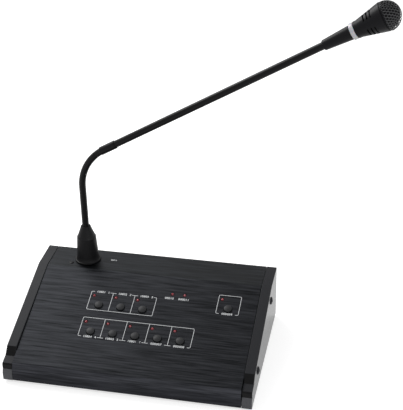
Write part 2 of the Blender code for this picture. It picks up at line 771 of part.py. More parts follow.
def make_buttons(material):
    """Domed caps with a flange under the sheet and a plunger to the switch."""
    dome = dome_points(CAP_RADIUS, CAP_DOME, CAP_PROUD, CAP_RINGS)
    flange_top = -SHEET - GAP
    flange_bottom = flange_top - CAP_FLANGE_HEIGHT
    profile = dome + [(CAP_RADIUS, flange_top), (CAP_RADIUS + CAP_FLANGE, flange_top),
                      (CAP_RADIUS + CAP_FLANGE, flange_bottom), (PLUNGER_RADIUS, flange_bottom),
                      (PLUNGER_RADIUS, -PLUNGER_END), (0, -PLUNGER_END)]
    mesh = turned_mesh("button", profile, MEDIUM)
    for name, left, bottom in button_spots():
        place = on_slope(left + CELL_PITCH / 2, bottom + BUTTON_RISE)
        show(name, mesh, material, place)


def make_lamps(material):
    """Round lamps with two legs that stand on the board."""
    foot = LAMP_PROUD - LAMP_LENGTH
    collar = foot + LAMP_FLANGE_HEIGHT
    dome = dome_points(LAMP_RADIUS, LAMP_RADIUS, LAMP_PROUD - LAMP_RADIUS, CAP_RINGS)
    profile = dome + [(LAMP_RADIUS, collar), (LAMP_RADIUS + LAMP_FLANGE, collar),
                      (LAMP_RADIUS + LAMP_FLANGE, foot), (0, foot)]
    lens = turned_mesh("lamp", profile, COARSE)

    def legs(work):
        height = BOARD_DEPTH - GAP + foot + LAMP_FLANGE_HEIGHT / 2
        for side in (-1, 1):
            add_box(work, (LAMP_LEG, LAMP_LEG, height),
                    (side * LAMP_LEG_PITCH / 2, 0, foot + LAMP_FLANGE_HEIGHT / 2 - height / 2))

    for name, x, row in lamp_spots():
        place = on_slope(x, row)
        lamp = show(name, lens, material, place)
        boolean(lamp, guide(name + "_legs", mesh_of("lamp_legs", legs), place), "UNION")


def cut_dish(piece, number):
    """A hollow end that the ball of the next link turns in."""
    def dish(work):
        bmesh.ops.create_uvsphere(work, u_segments=NECK_SIDES, v_segments=BALL_STACKS,
                                  radius=NECK_RADIUS + GAP)

    cutter = guide("dish_%d" % number, mesh_of("dish", dish), neck_place(joint_length(number)))
    boolean(piece, cutter, "DIFFERENCE")


def make_neck_stem(material):
    """Threaded foot of the neck, bored for its lead."""
    base = PANEL_TOP + GAP
    shoulder = base + STEM_FLANGE_HEIGHT
    top = BOOT_TOP + joint_length(0)
    profile = [(NECK_RADIUS, top), (NECK_RADIUS, PANEL_TOP + THREAD_ABOVE),
               (THREAD_RADIUS, PANEL_TOP + THREAD_ABOVE), (THREAD_RADIUS, shoulder),
               (STEM_FLANGE_RADIUS, shoulder), (STEM_FLANGE_RADIUS, base),
               (THREAD_RADIUS, base), (THREAD_RADIUS, PANEL_TOP - SHEET - THREAD_BELOW),
               (NECK_BORE_RADIUS, PANEL_TOP - SHEET - THREAD_BELOW), (NECK_BORE_RADIUS, top)]
    mesh = turned_mesh("neck_stem", profile, NECK_SIDES, closed=True)
    stem = show("neck_stem", mesh, material, Matrix.Translation((NECK_X, NECK_Y, 0)))
    cut_dish(stem, 0)


def make_neck_nut(material):
    bottom = PANEL_TOP - SHEET - GAP - NUT_HEIGHT

    def nut(work):
        add_rod(work, NUT_RADIUS, NUT_HEIGHT, Matrix.Translation((NECK_X, NECK_Y, bottom)), HEX)

    def bore(work):
        add_rod(work, THREAD_RADIUS + GAP, NUT_HEIGHT + 2 * OVERRUN,
                Matrix.Translation((NECK_X, NECK_Y, bottom - OVERRUN)), MEDIUM)

    piece = show("neck_nut", mesh_of("neck_nut", nut), material)
    boolean(piece, guide("nut_bore", mesh_of("nut_bore", bore)), "DIFFERENCE")


def make_neck_boot(material):
    """Tapered boot with a foot flange, a shoulder and a conical tip."""
    clear = GAP + STEM_FLANGE_HEIGHT + GAP
    profile = [(BOOT_TIP_RADIUS - BOOT_TIP_EDGE, BOOT_HEIGHT),
               (BOOT_TIP_RADIUS, BOOT_HEIGHT - BOOT_TIP_EDGE),
               (BOOT_SHOULDER_RADIUS - BOOT_STEP, BOOT_SHOULDER),
               (BOOT_SHOULDER_RADIUS, BOOT_SHOULDER - BOOT_STEP),
               (BOOT_BASE_RADIUS, BOOT_BASE_HEIGHT),
               (BOOT_FLANGE_RADIUS, BOOT_FLANGE_HEIGHT), (BOOT_FLANGE_RADIUS, GAP),
               (STEM_FLANGE_RADIUS + GAP, GAP), (STEM_FLANGE_RADIUS + GAP, clear),
               (THREAD_RADIUS + GAP, clear), (THREAD_RADIUS + GAP, THREAD_ABOVE + GAP),
               (NECK_RADIUS + GAP, THREAD_ABOVE + GAP), (NECK_RADIUS + GAP, BOOT_HEIGHT)]
    mesh = turned_mesh("neck_boot", profile, FINE, closed=True)
    show("neck_boot", mesh, material, Matrix.Translation((NECK_X, NECK_Y, PANEL_TOP)))


def neck_tube_mesh(name, start, end):
    """Tube along the neck with a round lower end, from one length to another."""
    rings = []
    for i in range(1, BALL_RINGS + 1):
        turn = math.pi / 2 * i / (BALL_RINGS + 1)
        below = neck_place(start) @ Vector((0, 0, -NECK_RADIUS * math.cos(turn)))
        rings.append((below, math.sin(turn)))
    count = max(round((end - start) / RING_PITCH), 1)
    for i in range(count + 1):
        length = start + (end - start) * i / count
        rings.append((neck_place(length).to_translation(), 1.0))
    curve = bpy.data.curves.new(name, "CURVE")
    curve.dimensions = "3D"
    curve.bevel_depth = NECK_RADIUS
    curve.bevel_resolution = NECK_SIDES // 2 - 2
    curve.use_fill_caps = True
    spline = curve.splines.new("POLY")
    spline.points.add(len(rings) - 1)
    for point, (place, share) in zip(spline.points, rings):
        point.co = (*place, 1)
        point.radius = share
    return settled_mesh(guide(name + "_path", curve), name)


def make_neck_links(material):
    for number in range(JOINT_COUNT - 1):
        name = "neck_link_%d" % (number + 1)
        mesh = neck_tube_mesh(name, joint_length(number), joint_length(number + 1))
        cut_dish(show(name, mesh, material), number + 1)


def make_ferrule(material):
    profile = [(FERRULE_RADIUS - FERRULE_EDGE, FERRULE_LENGTH),
               (FERRULE_RADIUS, FERRULE_LENGTH - FERRULE_EDGE),
               (FERRULE_RADIUS, FERRULE_EDGE), (FERRULE_RADIUS - FERRULE_EDGE, 0),
               (NECK_RADIUS + FERRULE_CLEARANCE, 0),
               (NECK_RADIUS + FERRULE_CLEARANCE, FERRULE_LENGTH)]
    mesh = turned_mesh("neck_ferrule", profile, MEDIUM, closed=True)
    straight = neck_place(FERRULE_START + FERRULE_OVERLAP)
    back = Matrix.Translation((0, 0, -FERRULE_OVERLAP))
    show("neck_ferrule", mesh, material, straight @ back)


def make_upper_tube(material):
    start = joint_length(JOINT_COUNT - 1)
    mesh = neck_tube_mesh("upper_tube", start, FERRULE_START + FERRULE_OVERLAP)
    tube = show("upper_tube", mesh, material)
    reach = HEAD_START + TUBE_IN_HEAD

    def stiff(work):
        place = neck_place(FERRULE_START + FERRULE_OVERLAP) @ Matrix.Translation((0, 0, -GAP))
        add_rod(work, NECK_RADIUS, reach - FERRULE_START - FERRULE_OVERLAP, place, NECK_SIDES)

    def bore(work):
        depth = TUBE_IN_HEAD + TUBE_LENGTH
        place = neck_place(reach - depth)
        add_rod(work, NECK_BORE_RADIUS, depth + OVERRUN, place, COARSE)

    boolean(tube, guide("stiff_length", mesh_of("stiff_length", stiff)), "UNION")
    boolean(tube, guide("tube_bore", mesh_of("tube_bore", bore)), "DIFFERENCE")


def body_radius(length):
    """Outer radius of the flared body, at a length from its back face."""
    share = max(length - BODY_STRAIGHT, 0) / (BODY_LENGTH - BODY_STRAIGHT)
    return BODY_START_RADIUS + (BODY_END_RADIUS - BODY_START_RADIUS) * share


def make_head_tail(material):
    """Tail cone over the tube, with a spigot for the ring and the body."""
    end = BODY_START + BODY_FLOOR + GAP
    socket = TUBE_IN_HEAD + GAP
    profile = [(SPIGOT_RADIUS, end), (SPIGOT_RADIUS, TAIL_LENGTH), (TAIL_END_RADIUS, TAIL_LENGTH),
               (TAIL_START_RADIUS + TAIL_EDGE / 2, TAIL_EDGE), (TAIL_START_RADIUS - TAIL_EDGE / 2, 0),
               (NECK_RADIUS + GAP, 0), (NECK_RADIUS + GAP, socket),
               (SPIGOT_BORE_RADIUS, socket), (SPIGOT_BORE_RADIUS, end)]
    mesh = turned_mesh("head_tail", profile, FINE, closed=True)
    show("head_tail", mesh, material, neck_place(HEAD_START))


def make_head_ring(material):
    end = RING_START + RING_LENGTH
    profile = [(RING_RADIUS - RING_EDGE, end), (RING_RADIUS, end - RING_EDGE),
               (RING_RADIUS, RING_START + RING_EDGE), (RING_RADIUS - RING_EDGE, RING_START),
               (SPIGOT_RADIUS + GAP, RING_START), (SPIGOT_RADIUS + GAP, end)]
    mesh = turned_mesh("head_ring", profile, FINE, closed=True)
    show("head_ring", mesh, material, neck_place(HEAD_START))


def make_head_body(material):
    """Flared shell with a ledge for the capsule and rows of vent slots."""
    ledge_top = BODY_LENGTH - LEDGE_DEPTH
    ledge_bottom = ledge_top - LEDGE_HEIGHT
    mouth = CAPSULE_RADIUS + GAP

    def inner(length):
        return body_radius(length) - BODY_WALL

    section = [(BODY_END_RADIUS, BODY_LENGTH), (BODY_END_RADIUS, BODY_LENGTH - BODY_RIM),
               (body_radius(BODY_STRAIGHT), BODY_STRAIGHT),
               (BODY_START_RADIUS, 0), (SPIGOT_RADIUS + GAP, 0),
               (SPIGOT_RADIUS + GAP, BODY_FLOOR), (inner(BODY_FLOOR), BODY_FLOOR),
               (inner(ledge_bottom), ledge_bottom), (mouth, ledge_bottom), (mouth, ledge_top),
               (inner(ledge_top), ledge_top), (inner(BODY_LENGTH), BODY_LENGTH)]
    profile = [(radius, BODY_START + height) for radius, height in section]
    mesh = turned_mesh("head_body", profile, FINE, closed=True)
    place = neck_place(HEAD_START)
    body = show("head_body", mesh, material, place)
    boolean(body, guide("vent_slots", mesh_of("vent_slots", add_vent_slots), place), "DIFFERENCE")


def add_vent_slots(work):
    """Wedges from the axis outwards, in rows along the body and groups around it."""
    reach = BODY_END_RADIUS + OVERRUN
    rays = MEDIUM // 2
    for row in range(SLOT_ROWS):
        low = BODY_START + FIRST_SLOT + row * SLOT_PITCH
        for group in range(SLOT_GROUPS):
            start = SLOT_PHASE + group * math.tau / SLOT_GROUPS - SLOT_ARC / 2
            rim = [start + SLOT_ARC * i / rays for i in range(rays + 1)]
            inside = SPIGOT_RADIUS + GAP
            near = [(inside * math.cos(turn), inside * math.sin(turn)) for turn in rim]
            far = [(reach * math.cos(turn), reach * math.sin(turn)) for turn in reversed(rim)]
            corners = [work.verts.new((x, y, low)) for x, y in near + far]
            face = work.faces.new(corners)
            grown = bmesh.ops.extrude_face_region(work, geom=[face])
            lifted = [item for item in grown["geom"] if isinstance(item, bmesh.types.BMVert)]
            bmesh.ops.translate(work, verts=lifted, vec=(0, 0, SLOT_WIDTH))
    bmesh.ops.recalc_face_normals(work, faces=work.faces)


def make_grille(material):
    """Mesh dome as a thin shell, its skirt inside the body's rim."""
    base = GRILLE_START + GRILLE_SHEET
    skirt = skirt_radius()
    skirt_foot = GRILLE_START - GRILLE_SKIRT
    hollow = GRILLE_RADIUS - GRILLE_SHEET
    outside = dome_points(GRILLE_RADIUS, GRILLE_RADIUS, base, DOME_RINGS)
    inside = dome_points(hollow, hollow, base, DOME_RINGS)
    profile = (outside + [(GRILLE_RADIUS, GRILLE_START), (skirt, GRILLE_START),
                          (skirt, skirt_foot), (skirt - GRILLE_SHEET, skirt_foot),
                          (skirt - GRILLE_SHEET, base)]
               + list(reversed(inside)))
    mesh = turned_mesh("head_grille", profile, FINE)
    show("head_grille", mesh, material, neck_place(HEAD_START))


def skirt_radius():
    """Outer radius of the skirt that holds the dome in the body's mouth."""
    return body_radius(BODY_LENGTH - GRILLE_SKIRT) - BODY_WALL - GAP


def make_foam(material):
    """Wind foam that fills the dome down to the capsule."""
    radius = skirt_radius() - GRILLE_SHEET - GAP
    foot = GRILLE_START - GRILLE_SKIRT / 2
    base = GRILLE_START + GRILLE_SHEET + GAP
    crown = GRILLE_RADIUS - GRILLE_SHEET - 2 * GAP
    dome = dome_points(crown, crown, base, CAP_RINGS)
    profile = dome + [(radius, base), (radius, foot), (0, foot)]
    show("foam_insert", turned_mesh("foam_insert", profile, MEDIUM), material,
         neck_place(HEAD_START))


def make_capsule(material):
    """Microphone capsule that hangs by its lip in the body's ledge."""
    seat = BODY_END - LEDGE_DEPTH + GAP
    top = seat + CAPSULE_LIP
    profile = [(0, top), (CAPSULE_RADIUS + CAPSULE_LIP, top), (CAPSULE_RADIUS + CAPSULE_LIP, seat),
               (CAPSULE_RADIUS, seat), (CAPSULE_RADIUS, top - CAPSULE_HEIGHT),
               (0, top - CAPSULE_HEIGHT)]
    show("capsule", turned_mesh("capsule", profile, MEDIUM), material, neck_place(HEAD_START))


def build():
    brushed = finish("brushed_black_aluminium", BRUSHED_BLACK)
    satin = finish("satin_black_plastic", SATIN_BLACK)
    steel = finish("black_steel", STEEL_BLACK)
    rubber = finish("black_rubber", RUBBER_BLACK)
    gloss = finish("gloss_black_plastic", GLOSS_BLACK)
    zinc = finish("zinc_plated_steel", ZINC)
    make_top_panel(brushed)
    make_cheek("left_cheek", -1, satin)
    make_cheek("right_cheek", 1, satin)
    make_cheek_screws(steel)
    make_bottom_plate(steel)
    make_rear_panel(brushed)
    make_feet(rubber)
    make_link_socket(gloss)
    make_power_jack(gloss)
    make_circuit_board(finish("board_green", BOARD_GREEN))
    make_switches(satin)
    make_buttons(gloss)
    make_lamps(finish("lamp_red", LAMP_RED))
    make_neck_stem(zinc)
    make_neck_nut(zinc)
    make_neck_boot(rubber)
    make_neck_links(steel)
    make_ferrule(steel)
    make_upper_tube(steel)
    make_head_tail(satin)
    make_head_ring(finish("milky_acrylic", MILKY_ACRYLIC))
    make_head_body(satin)
    make_grille(steel)
    make_foam(finish("wind_foam", FOAM_GREY))
    make_capsule(zinc)


clear_scene()
PARTS = new_collection("paging_microphone")
CUTTERS = new_collection("cutters")
build()
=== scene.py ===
# %% [markdown]
# # Dressing a desk paging microphone
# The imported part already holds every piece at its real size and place. This lesson gives them their
# surfaces. Solids whose shape is right keep it and only get a finish. The others are modelled again with
# softer edges and finer detail, and the new piece then stands for the solid.

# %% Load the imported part
import json
import math

import bmesh
import bpy
from mathutils import Matrix, Vector, noise


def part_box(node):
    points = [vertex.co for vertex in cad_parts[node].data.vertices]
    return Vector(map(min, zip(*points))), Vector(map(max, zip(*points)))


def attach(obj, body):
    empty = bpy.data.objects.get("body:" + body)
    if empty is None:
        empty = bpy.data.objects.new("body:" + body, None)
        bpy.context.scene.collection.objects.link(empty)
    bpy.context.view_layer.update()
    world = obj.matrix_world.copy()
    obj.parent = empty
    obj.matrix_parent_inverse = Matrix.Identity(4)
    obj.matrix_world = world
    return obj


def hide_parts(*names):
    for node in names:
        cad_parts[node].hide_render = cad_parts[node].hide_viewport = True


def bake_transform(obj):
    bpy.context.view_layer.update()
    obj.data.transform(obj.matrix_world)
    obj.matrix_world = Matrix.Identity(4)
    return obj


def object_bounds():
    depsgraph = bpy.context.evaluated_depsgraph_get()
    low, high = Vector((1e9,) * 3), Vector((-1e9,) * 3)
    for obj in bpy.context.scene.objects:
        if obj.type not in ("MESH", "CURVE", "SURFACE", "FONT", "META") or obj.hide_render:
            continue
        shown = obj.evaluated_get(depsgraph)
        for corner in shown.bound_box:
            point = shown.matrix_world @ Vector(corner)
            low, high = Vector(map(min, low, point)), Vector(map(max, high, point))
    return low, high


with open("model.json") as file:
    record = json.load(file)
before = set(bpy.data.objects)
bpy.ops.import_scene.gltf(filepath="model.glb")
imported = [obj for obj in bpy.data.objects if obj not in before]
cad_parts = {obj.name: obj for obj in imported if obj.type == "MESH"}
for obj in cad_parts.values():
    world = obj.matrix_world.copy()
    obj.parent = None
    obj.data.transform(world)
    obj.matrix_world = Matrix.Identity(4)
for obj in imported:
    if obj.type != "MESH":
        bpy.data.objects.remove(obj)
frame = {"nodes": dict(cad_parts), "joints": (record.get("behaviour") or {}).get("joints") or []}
NODES = frame["nodes"]
JOINTS = {joint["name"]: joint for joint in frame["joints"]}
CAD_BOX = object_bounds()
# Points closer together than this, in metres, count as one.
WELD = 0.000005
print("solids:", len(NODES), "joints:", len(JOINTS))


# %% [markdown]
# ## Two helpers for every finish
# A colour picker shows sRGB hex values, and the shader wants linear light, so one function converts them. A
# second one adds any node with its settings and its links, which keeps each material short enough to read.

# %% Colours and nodes
def colour(code):
    """Linear colour of an sRGB hex value, by the curve of the sRGB standard."""
    shares = [int(code[i:i + 2], 16) / 255 for i in (1, 3, 5)]
    linear = [s / 12.92 if s <= 0.04045 else ((s + 0.055) / 1.055) ** 2.4 for s in shares]
    return (*linear, 1.0)


def add_node(tree, kind, inputs=None, **settings):
    """Adds a node. An input is a plain value, or an output of another node to link."""
    node = tree.nodes.new(kind)
    for name, value in settings.items():
        setattr(node, name, value)
    for name, value in (inputs or {}).items():
        if isinstance(value, bpy.types.NodeSocket):
            tree.links.new(value, node.inputs[name])
        else:
            node.inputs[name].default_value = value
    return node


print("mid grey in linear light:", round(colour("#808080")[0], 3))


# %% [markdown]
# Every finish here is driven by one pattern between 0 and 1. It mixes two colours, shifts the roughness and
# raises a relief in real metres. Real surfaces vary in all three at once, because one cause, such as a brush
# stroke or a moulding grain, makes them vary.

# %% From one pattern to a whole surface
MIX_LOW, MIX_HIGH, MIX_RESULT = 6, 7, 2
# A noise seldom leaves this span, so the span is stretched to 0 and 1.
NOISE_LOW, NOISE_HIGH = 0.3, 0.7


def start_finish(name, **values):
    """A material, its tree and shader, and places in the piece's own metres."""
    material = bpy.data.materials.new(name)
    material.use_nodes = True
    tree = material.node_tree
    shader = tree.nodes["Principled BSDF"]
    for socket, value in values.items():
        shader.inputs[socket.replace("_", " ")].default_value = value
    place = add_node(tree, "ShaderNodeTexCoord").outputs["Object"]
    print("finish:", name)
    return material, tree, shader, place


def cloud(tree, place, size, detail=3.0):
    """A noise pattern whose patches have a real size along X, Y and Z."""
    scale = tuple(1 / length for length in size)
    stretched = add_node(tree, "ShaderNodeMapping", {"Vector": place, "Scale": scale})
    patches = add_node(tree, "ShaderNodeTexNoise",
                       {"Vector": stretched.outputs["Vector"], "Scale": 1.0, "Detail": detail})
    even = add_node(tree, "ShaderNodeMapRange",
                    {"Value": patches.outputs["Fac"], "From Min": NOISE_LOW, "From Max": NOISE_HIGH})
    return even.outputs["Result"]


def drive(tree, shader, pattern, colours, roughness, relief):
    """Links a pattern to colour, roughness and a relief in metres."""
    mixed = add_node(tree, "ShaderNodeMix", {0: pattern, MIX_LOW: colour(colours[0]),
                                             MIX_HIGH: colour(colours[1])}, data_type="RGBA")
    rough = add_node(tree, "ShaderNodeMapRange",
                     {"Value": pattern, "To Min": roughness[0], "To Max": roughness[1]})
    bump = add_node(tree, "ShaderNodeBump", {"Height": pattern, "Distance": relief})
    tree.links.new(mixed.outputs[MIX_RESULT], shader.inputs["Base Color"])
    tree.links.new(rough.outputs["Result"], shader.inputs["Roughness"])
    tree.links.new(bump.outputs["Normal"], shader.inputs["Normal"])


# %% [markdown]
# ## The console's brushed sheet
# The sloping panel is aluminium that was brushed from side to side, anodised and dyed black. The eye reads
# it from long fine streaks that catch the light unevenly. Real strokes are about 0.1 mm wide, too fine for
# this picture, so they are drawn about 1.4 mm wide, with a second, finer set between them. A noise stretched
# along X draws them with no picture of a brushed sheet to tile. The other flats of the bent sheet get copies
# of this finish in other tones: the chamfer and the front edge are painted paler, painted light as if a lamp
# lit them from the front, and the flat strip at the back is painted darker, painted shade.

# %% Black anodised aluminium, brushed
STROKE = (0.035, 0.0014, 0.0014)
FINE_STROKE = (0.015, 0.0005, 0.0005)
FINE_SHARE = 0.3
BRUSHED_ROUGHNESS, BRUSHED_RELIEF = (0.36, 0.50), 0.00002


def brushed_anodised(name, colours):
    material, tree, shader, place = start_finish(name, Metallic=1.0)
    broad = cloud(tree, place, STROKE)
    fine = add_node(tree, "ShaderNodeMath", {0: cloud(tree, place, FINE_STROKE), 1: FINE_SHARE},
                    operation="MULTIPLY")
    both = add_node(tree, "ShaderNodeMath", {0: broad, 1: 1 - FINE_SHARE, 2: fine.outputs[0]},
                    operation="MULTIPLY_ADD")
    drive(tree, shader, both.outputs[0], colours, BRUSHED_ROUGHNESS, BRUSHED_RELIEF)
    return material


PANEL_FINISH = brushed_anodised("black_anodised_brushed_aluminium", ("#08090a", "#2c2d30"))
# Lit and shaded copies of the panel's finish: painted light on the chamfer and front edge, painted shade on
# the strip.
CHAMFER_PAINTED_LIGHT = brushed_anodised("black_anodised_chamfer_painted_light", ("#17181a", "#404146"))
FRONT_PAINTED_LIGHT = brushed_anodised("black_anodised_front_painted_light", ("#0f1012", "#35363b"))
STRIP_PAINTED_SHADE = brushed_anodised("black_anodised_strip_painted_shade", ("#060708", "#282a2d"))


# %% [markdown]
# ## Moulded plastics
# The end cheeks are ABS with a fine satin grain from the tool's etched face. The grain scatters the
# highlight, so the face looks dry and even. The caps are the same plastic from a smoother tool. Etched grain
# is about 0.1 mm wide and is drawn 0.5 to 0.8 mm wide here so that it shows. A picture of grain would have to
# be wrapped round each piece. A noise that is placed in metres needs no wrapping.

# %% ABS and nylon
def moulded(name, colours, roughness, grain, relief, gloss=0.5):
    material, tree, shader, place = start_finish(name, Metallic=0.0, IOR=1.53, Specular_IOR_Level=gloss)
    drive(tree, shader, cloud(tree, place, (grain,) * 3), colours, roughness, relief)
    return material


CHEEK_FINISH = moulded("satin_black_abs", ("#141518", "#1a1b1f"), (0.48, 0.58),
                       grain=0.0005, relief=0.00001, gloss=0.15)
SIDE_FINISH = moulded("smooth_black_abs", ("#16171a", "#1d1e22"), (0.24, 0.32),
                      grain=0.0008, relief=0.000006, gloss=0.35)
# A paler copy of the cheek's plastic, a painted highlight for the lip.
LIP_PAINTED_HIGHLIGHT = moulded("black_abs_painted_highlight", ("#303135", "#3e3f44"), (0.35, 0.45),
                     grain=0.0006, relief=0.00001, gloss=0.4)
# A near-black copy of the cheek's plastic, painted shade for the forward faces of the nose steps.
PAINTED_SHADE_BLACK = moulded("black_abs_painted_shade", ("#080809", "#0e0e0f"), (0.20, 0.28),
                        grain=0.0005, relief=0.000004, gloss=0.1)
CAP_FINISH = moulded("satin_grey_abs", ("#191a1c", "#202123"), (0.42, 0.50),
                     grain=0.0008, relief=0.000006, gloss=0.2)
NYLON_FINISH = moulded("black_nylon", ("#0e0e0f", "#161617"), (0.40, 0.55),
                       grain=0.0008, relief=0.00001, gloss=0.2)


# %% [markdown]
# ## Paint and lacquer
# The neck and the head's shell are metal under satin black paint. Sprayed paint is never quite flat: it
# dries with shallow waves about a millimetre across, the so-called orange peel, which soften a highlight's
# edge. The bottom plate has powder coat, whose waves are deeper. On the neck's bendable sleeves the pattern
# lies on their unwrapped skin, so that it bends with them.

# %% Painted metals
def painted(name, colours, roughness, wave, relief, gloss=0.2, coordinates="Object"):
    material, tree, shader, place = start_finish(name, Metallic=0.0, IOR=1.5, Specular_IOR_Level=gloss)
    if coordinates != "Object":
        place = add_node(tree, "ShaderNodeTexCoord").outputs[coordinates]
    drive(tree, shader, cloud(tree, place, (wave,) * 3), colours, roughness, relief)
    return material


LACQUER = {"colours": ("#050506", "#09090b"), "roughness": (0.30, 0.38), "wave": 0.0012,
           "relief": 0.00001, "gloss": 0.14}
NECK_FINISH = painted("satin_black_lacquer", **LACQUER)
SLEEVE_FINISH = painted("satin_black_lacquer_on_coil", **LACQUER, coordinates="UV")
HEAD_FINISH = painted("satin_black_paint", ("#09090c", "#0f0f12"), (0.34, 0.42),
                      wave=0.0007, relief=0.00001, gloss=0.12)
MESH_FINISH = painted("black_lacquered_wire_mesh", ("#212224", "#2a2b2d"), (0.38, 0.48),
                      wave=0.0009, relief=0.00001, gloss=0.5)
PLATE_FINISH = painted("black_powder_coat", ("#18181a", "#222225"), (0.45, 0.60),
                       wave=0.0015, relief=0.00004)


# %% [markdown]
# ## Rubber and foam
# The boot and the feet are soft rubber, dull but with a broad sheen where they curve away. The wind foam is
# open-celled. Its pits could be modelled, but a cell pattern with deep relief reads as a sponge even through
# the mesh, and costs no faces.

# %% Rubber
RUBBER_GRAIN, RUBBER_RELIEF = 0.0010, 0.00001


def rubber(name, colours, roughness, gloss):
    material, tree, shader, place = start_finish(name, Metallic=0.0, IOR=1.52, Specular_IOR_Level=gloss)
    drive(tree, shader, cloud(tree, place, (RUBBER_GRAIN,) * 3), colours, roughness, RUBBER_RELIEF)
    return material


BOOT_FINISH = rubber("smooth_black_rubber", ("#08080a", "#0d0d0f"), (0.42, 0.50), 0.15)
FOOT_FINISH = rubber("dull_black_rubber", ("#131314", "#1d1d1e"), (0.70, 0.85), 0.2)

# %% Open-cell foam
FOAM_CELL = 0.0006


def open_foam():
    material, tree, shader, place = start_finish("open_cell_foam", Metallic=0.0, IOR=1.45,
                                                 Specular_IOR_Level=0.1)
    cells = add_node(tree, "ShaderNodeTexVoronoi", {"Vector": place, "Scale": 1 / FOAM_CELL})
    drive(tree, shader, cells.outputs["Distance"], ("#141415", "#242426"), (0.90, 1.00), FOAM_CELL)
    return material


FOAM_FINISH = open_foam()


# %% [markdown]
# ## Bare and plated metals
# Zinc plating sets in faint patches, so its colour and gloss drift over a millimetre or two. Nickel, tin and
# gold are smoother. Black oxide is only a stained skin, so the screws keep a metal's reflection. One
# function makes all of them, because only the colour, the gloss and the size of the patches differ.

# %% Plated metals
PLATING_RELIEF = 0.000004


def plated(name, colours, roughness, patch):
    material, tree, shader, place = start_finish(name, Metallic=1.0)
    drive(tree, shader, cloud(tree, place, (patch,) * 3), colours, roughness, PLATING_RELIEF)
    return material


ZINC_FINISH = plated("zinc_plated_steel", ("#9a9ca2", "#bcbdc0"), (0.30, 0.42), patch=0.0018)
NICKEL_FINISH = plated("nickel_plated_brass", ("#b3aca0", "#c8c2b8"), (0.20, 0.28), patch=0.0015)
GOLD_FINISH = plated("gold_plated_bronze", ("#c99a3f", "#e0b45a"), (0.20, 0.30), patch=0.0010)
SCREW_FINISH = plated("black_oxide_steel", ("#17171a", "#26262a"), (0.30, 0.42), patch=0.0008)


# %% [markdown]
# ## Small bright things
# The ring behind the head is milky acrylic that glows when the microphone is live. Unlit, it is a soft
# white: light enters, scatters and comes back out, so it gets subsurface scattering and no emission. The
# lamps are red tinted epoxy, painted lighter over the cup that holds the chip, a painted reflection of the
# cup, and deeper towards the rim. The printing is white screen ink, a little uneven.

# %% Milky ring
MILK_PATCH = 0.0025


def milky_acrylic():
    material, tree, shader, place = start_finish("milky_acrylic", Metallic=0.0, IOR=1.49,
                                                 Subsurface_Weight=0.25, Subsurface_Scale=0.001)
    drive(tree, shader, cloud(tree, place, (MILK_PATCH,) * 3), ("#bcbcc1", "#cfcfd3"), (0.25, 0.35),
          0.000004)
    return material


RING_FINISH = milky_acrylic()

# %% Red lamp epoxy
# Within this distance of its axis the lamp is painted lighter, a painted reflection of the chip's cup.
PAINTED_SHINE_RADIUS = 0.0010


def lamp_epoxy():
    """The pattern is the distance from the lamp's own axis. Its lighter middle is a painted reflection of the
    chip's cup.
    """
    material, tree, shader, place = start_finish("red_tinted_epoxy", Metallic=0.0, IOR=1.54,
                                                 Subsurface_Weight=0.3, Subsurface_Scale=0.0005)
    flat = add_node(tree, "ShaderNodeVectorMath", {0: place, 1: (1.0, 1.0, 0.0)}, operation="MULTIPLY")
    reach = add_node(tree, "ShaderNodeVectorMath", {0: flat.outputs[0]}, operation="LENGTH")
    share = add_node(tree, "ShaderNodeMapRange", {"Value": reach.outputs["Value"], "From Max": PAINTED_SHINE_RADIUS})
    drive(tree, shader, share.outputs["Result"], ("#bc4c58", "#70101c"), (0.12, 0.20), 0.00001)
    return material


LAMP_FINISH = lamp_epoxy()

# %% White screen ink
INK_FINISH = moulded("white_screen_ink", ("#c4c6c8", "#e0e2e3"), (0.45, 0.60),
                     grain=0.0006, relief=0.000004)


# %% [markdown]
# ## The board
# Solder mask is a green lacquer over copper. The copper tracks lift it slightly and lighten it. They could
# be modelled, but the board is inside the closed case, so a brick pattern stands in for them.

# %% Solder mask
TRACK = 0.0012


def solder_mask():
    material, tree, shader, place = start_finish("green_solder_mask", Metallic=0.0, IOR=1.5)
    tracks = add_node(tree, "ShaderNodeTexBrick",
                      {"Vector": place, "Scale": 1 / TRACK, "Brick Width": 6.0, "Row Height": 2.0,
                       "Mortar Size": 0.35, "Mortar Smooth": 0.2})
    drive(tree, shader, tracks.outputs["Fac"], ("#14502c", "#2a7a48"), (0.30, 0.40), 0.00003)
    return material


BOARD_FINISH = solder_mask()


# %% [markdown]
# ## Helpers for shapes
# Most pieces of this microphone are turned: a half outline spun about an axis. Rounding the outline's
# corners first costs a few points and gives every edge the small soft highlight that real edges have.

# %% Outlines
def quarter(steps):
    """Turns from 0 to a right angle in even steps."""
    return [math.pi / 2 * i / steps for i in range(steps + 1)]


def rounded(points, edge, steps=3, closed=False):
    """An outline with each corner replaced by a small curve."""
    count = len(points)
    result = []
    for i, point in enumerate(points):
        corner = Vector(point)
        if not closed and i in (0, count - 1):
            result.append(corner)
            continue
        before = Vector(points[i - 1]) - corner
        after = Vector(points[(i + 1) % count]) - corner
        start = corner + before.normalized() * min(edge, before.length / 2)
        end = corner + after.normalized() * min(edge, after.length / 2)
        for step in range(steps + 1):
            share = step / steps
            result.append(start.lerp(corner, share).lerp(corner.lerp(end, share), share))
    return result


print("a right angle in three steps, in degrees:", [round(math.degrees(turn)) for turn in quarter(3)])

# %% Meshes and turned solids
SIDES = 64
SMOOTH_ANGLE = math.radians(32)


def kept(work, name):
    """A smooth mesh from a bmesh, which is freed."""
    mesh = bpy.data.meshes.new(name)
    work.to_mesh(mesh)
    work.free()
    mesh.shade_smooth()
    return mesh


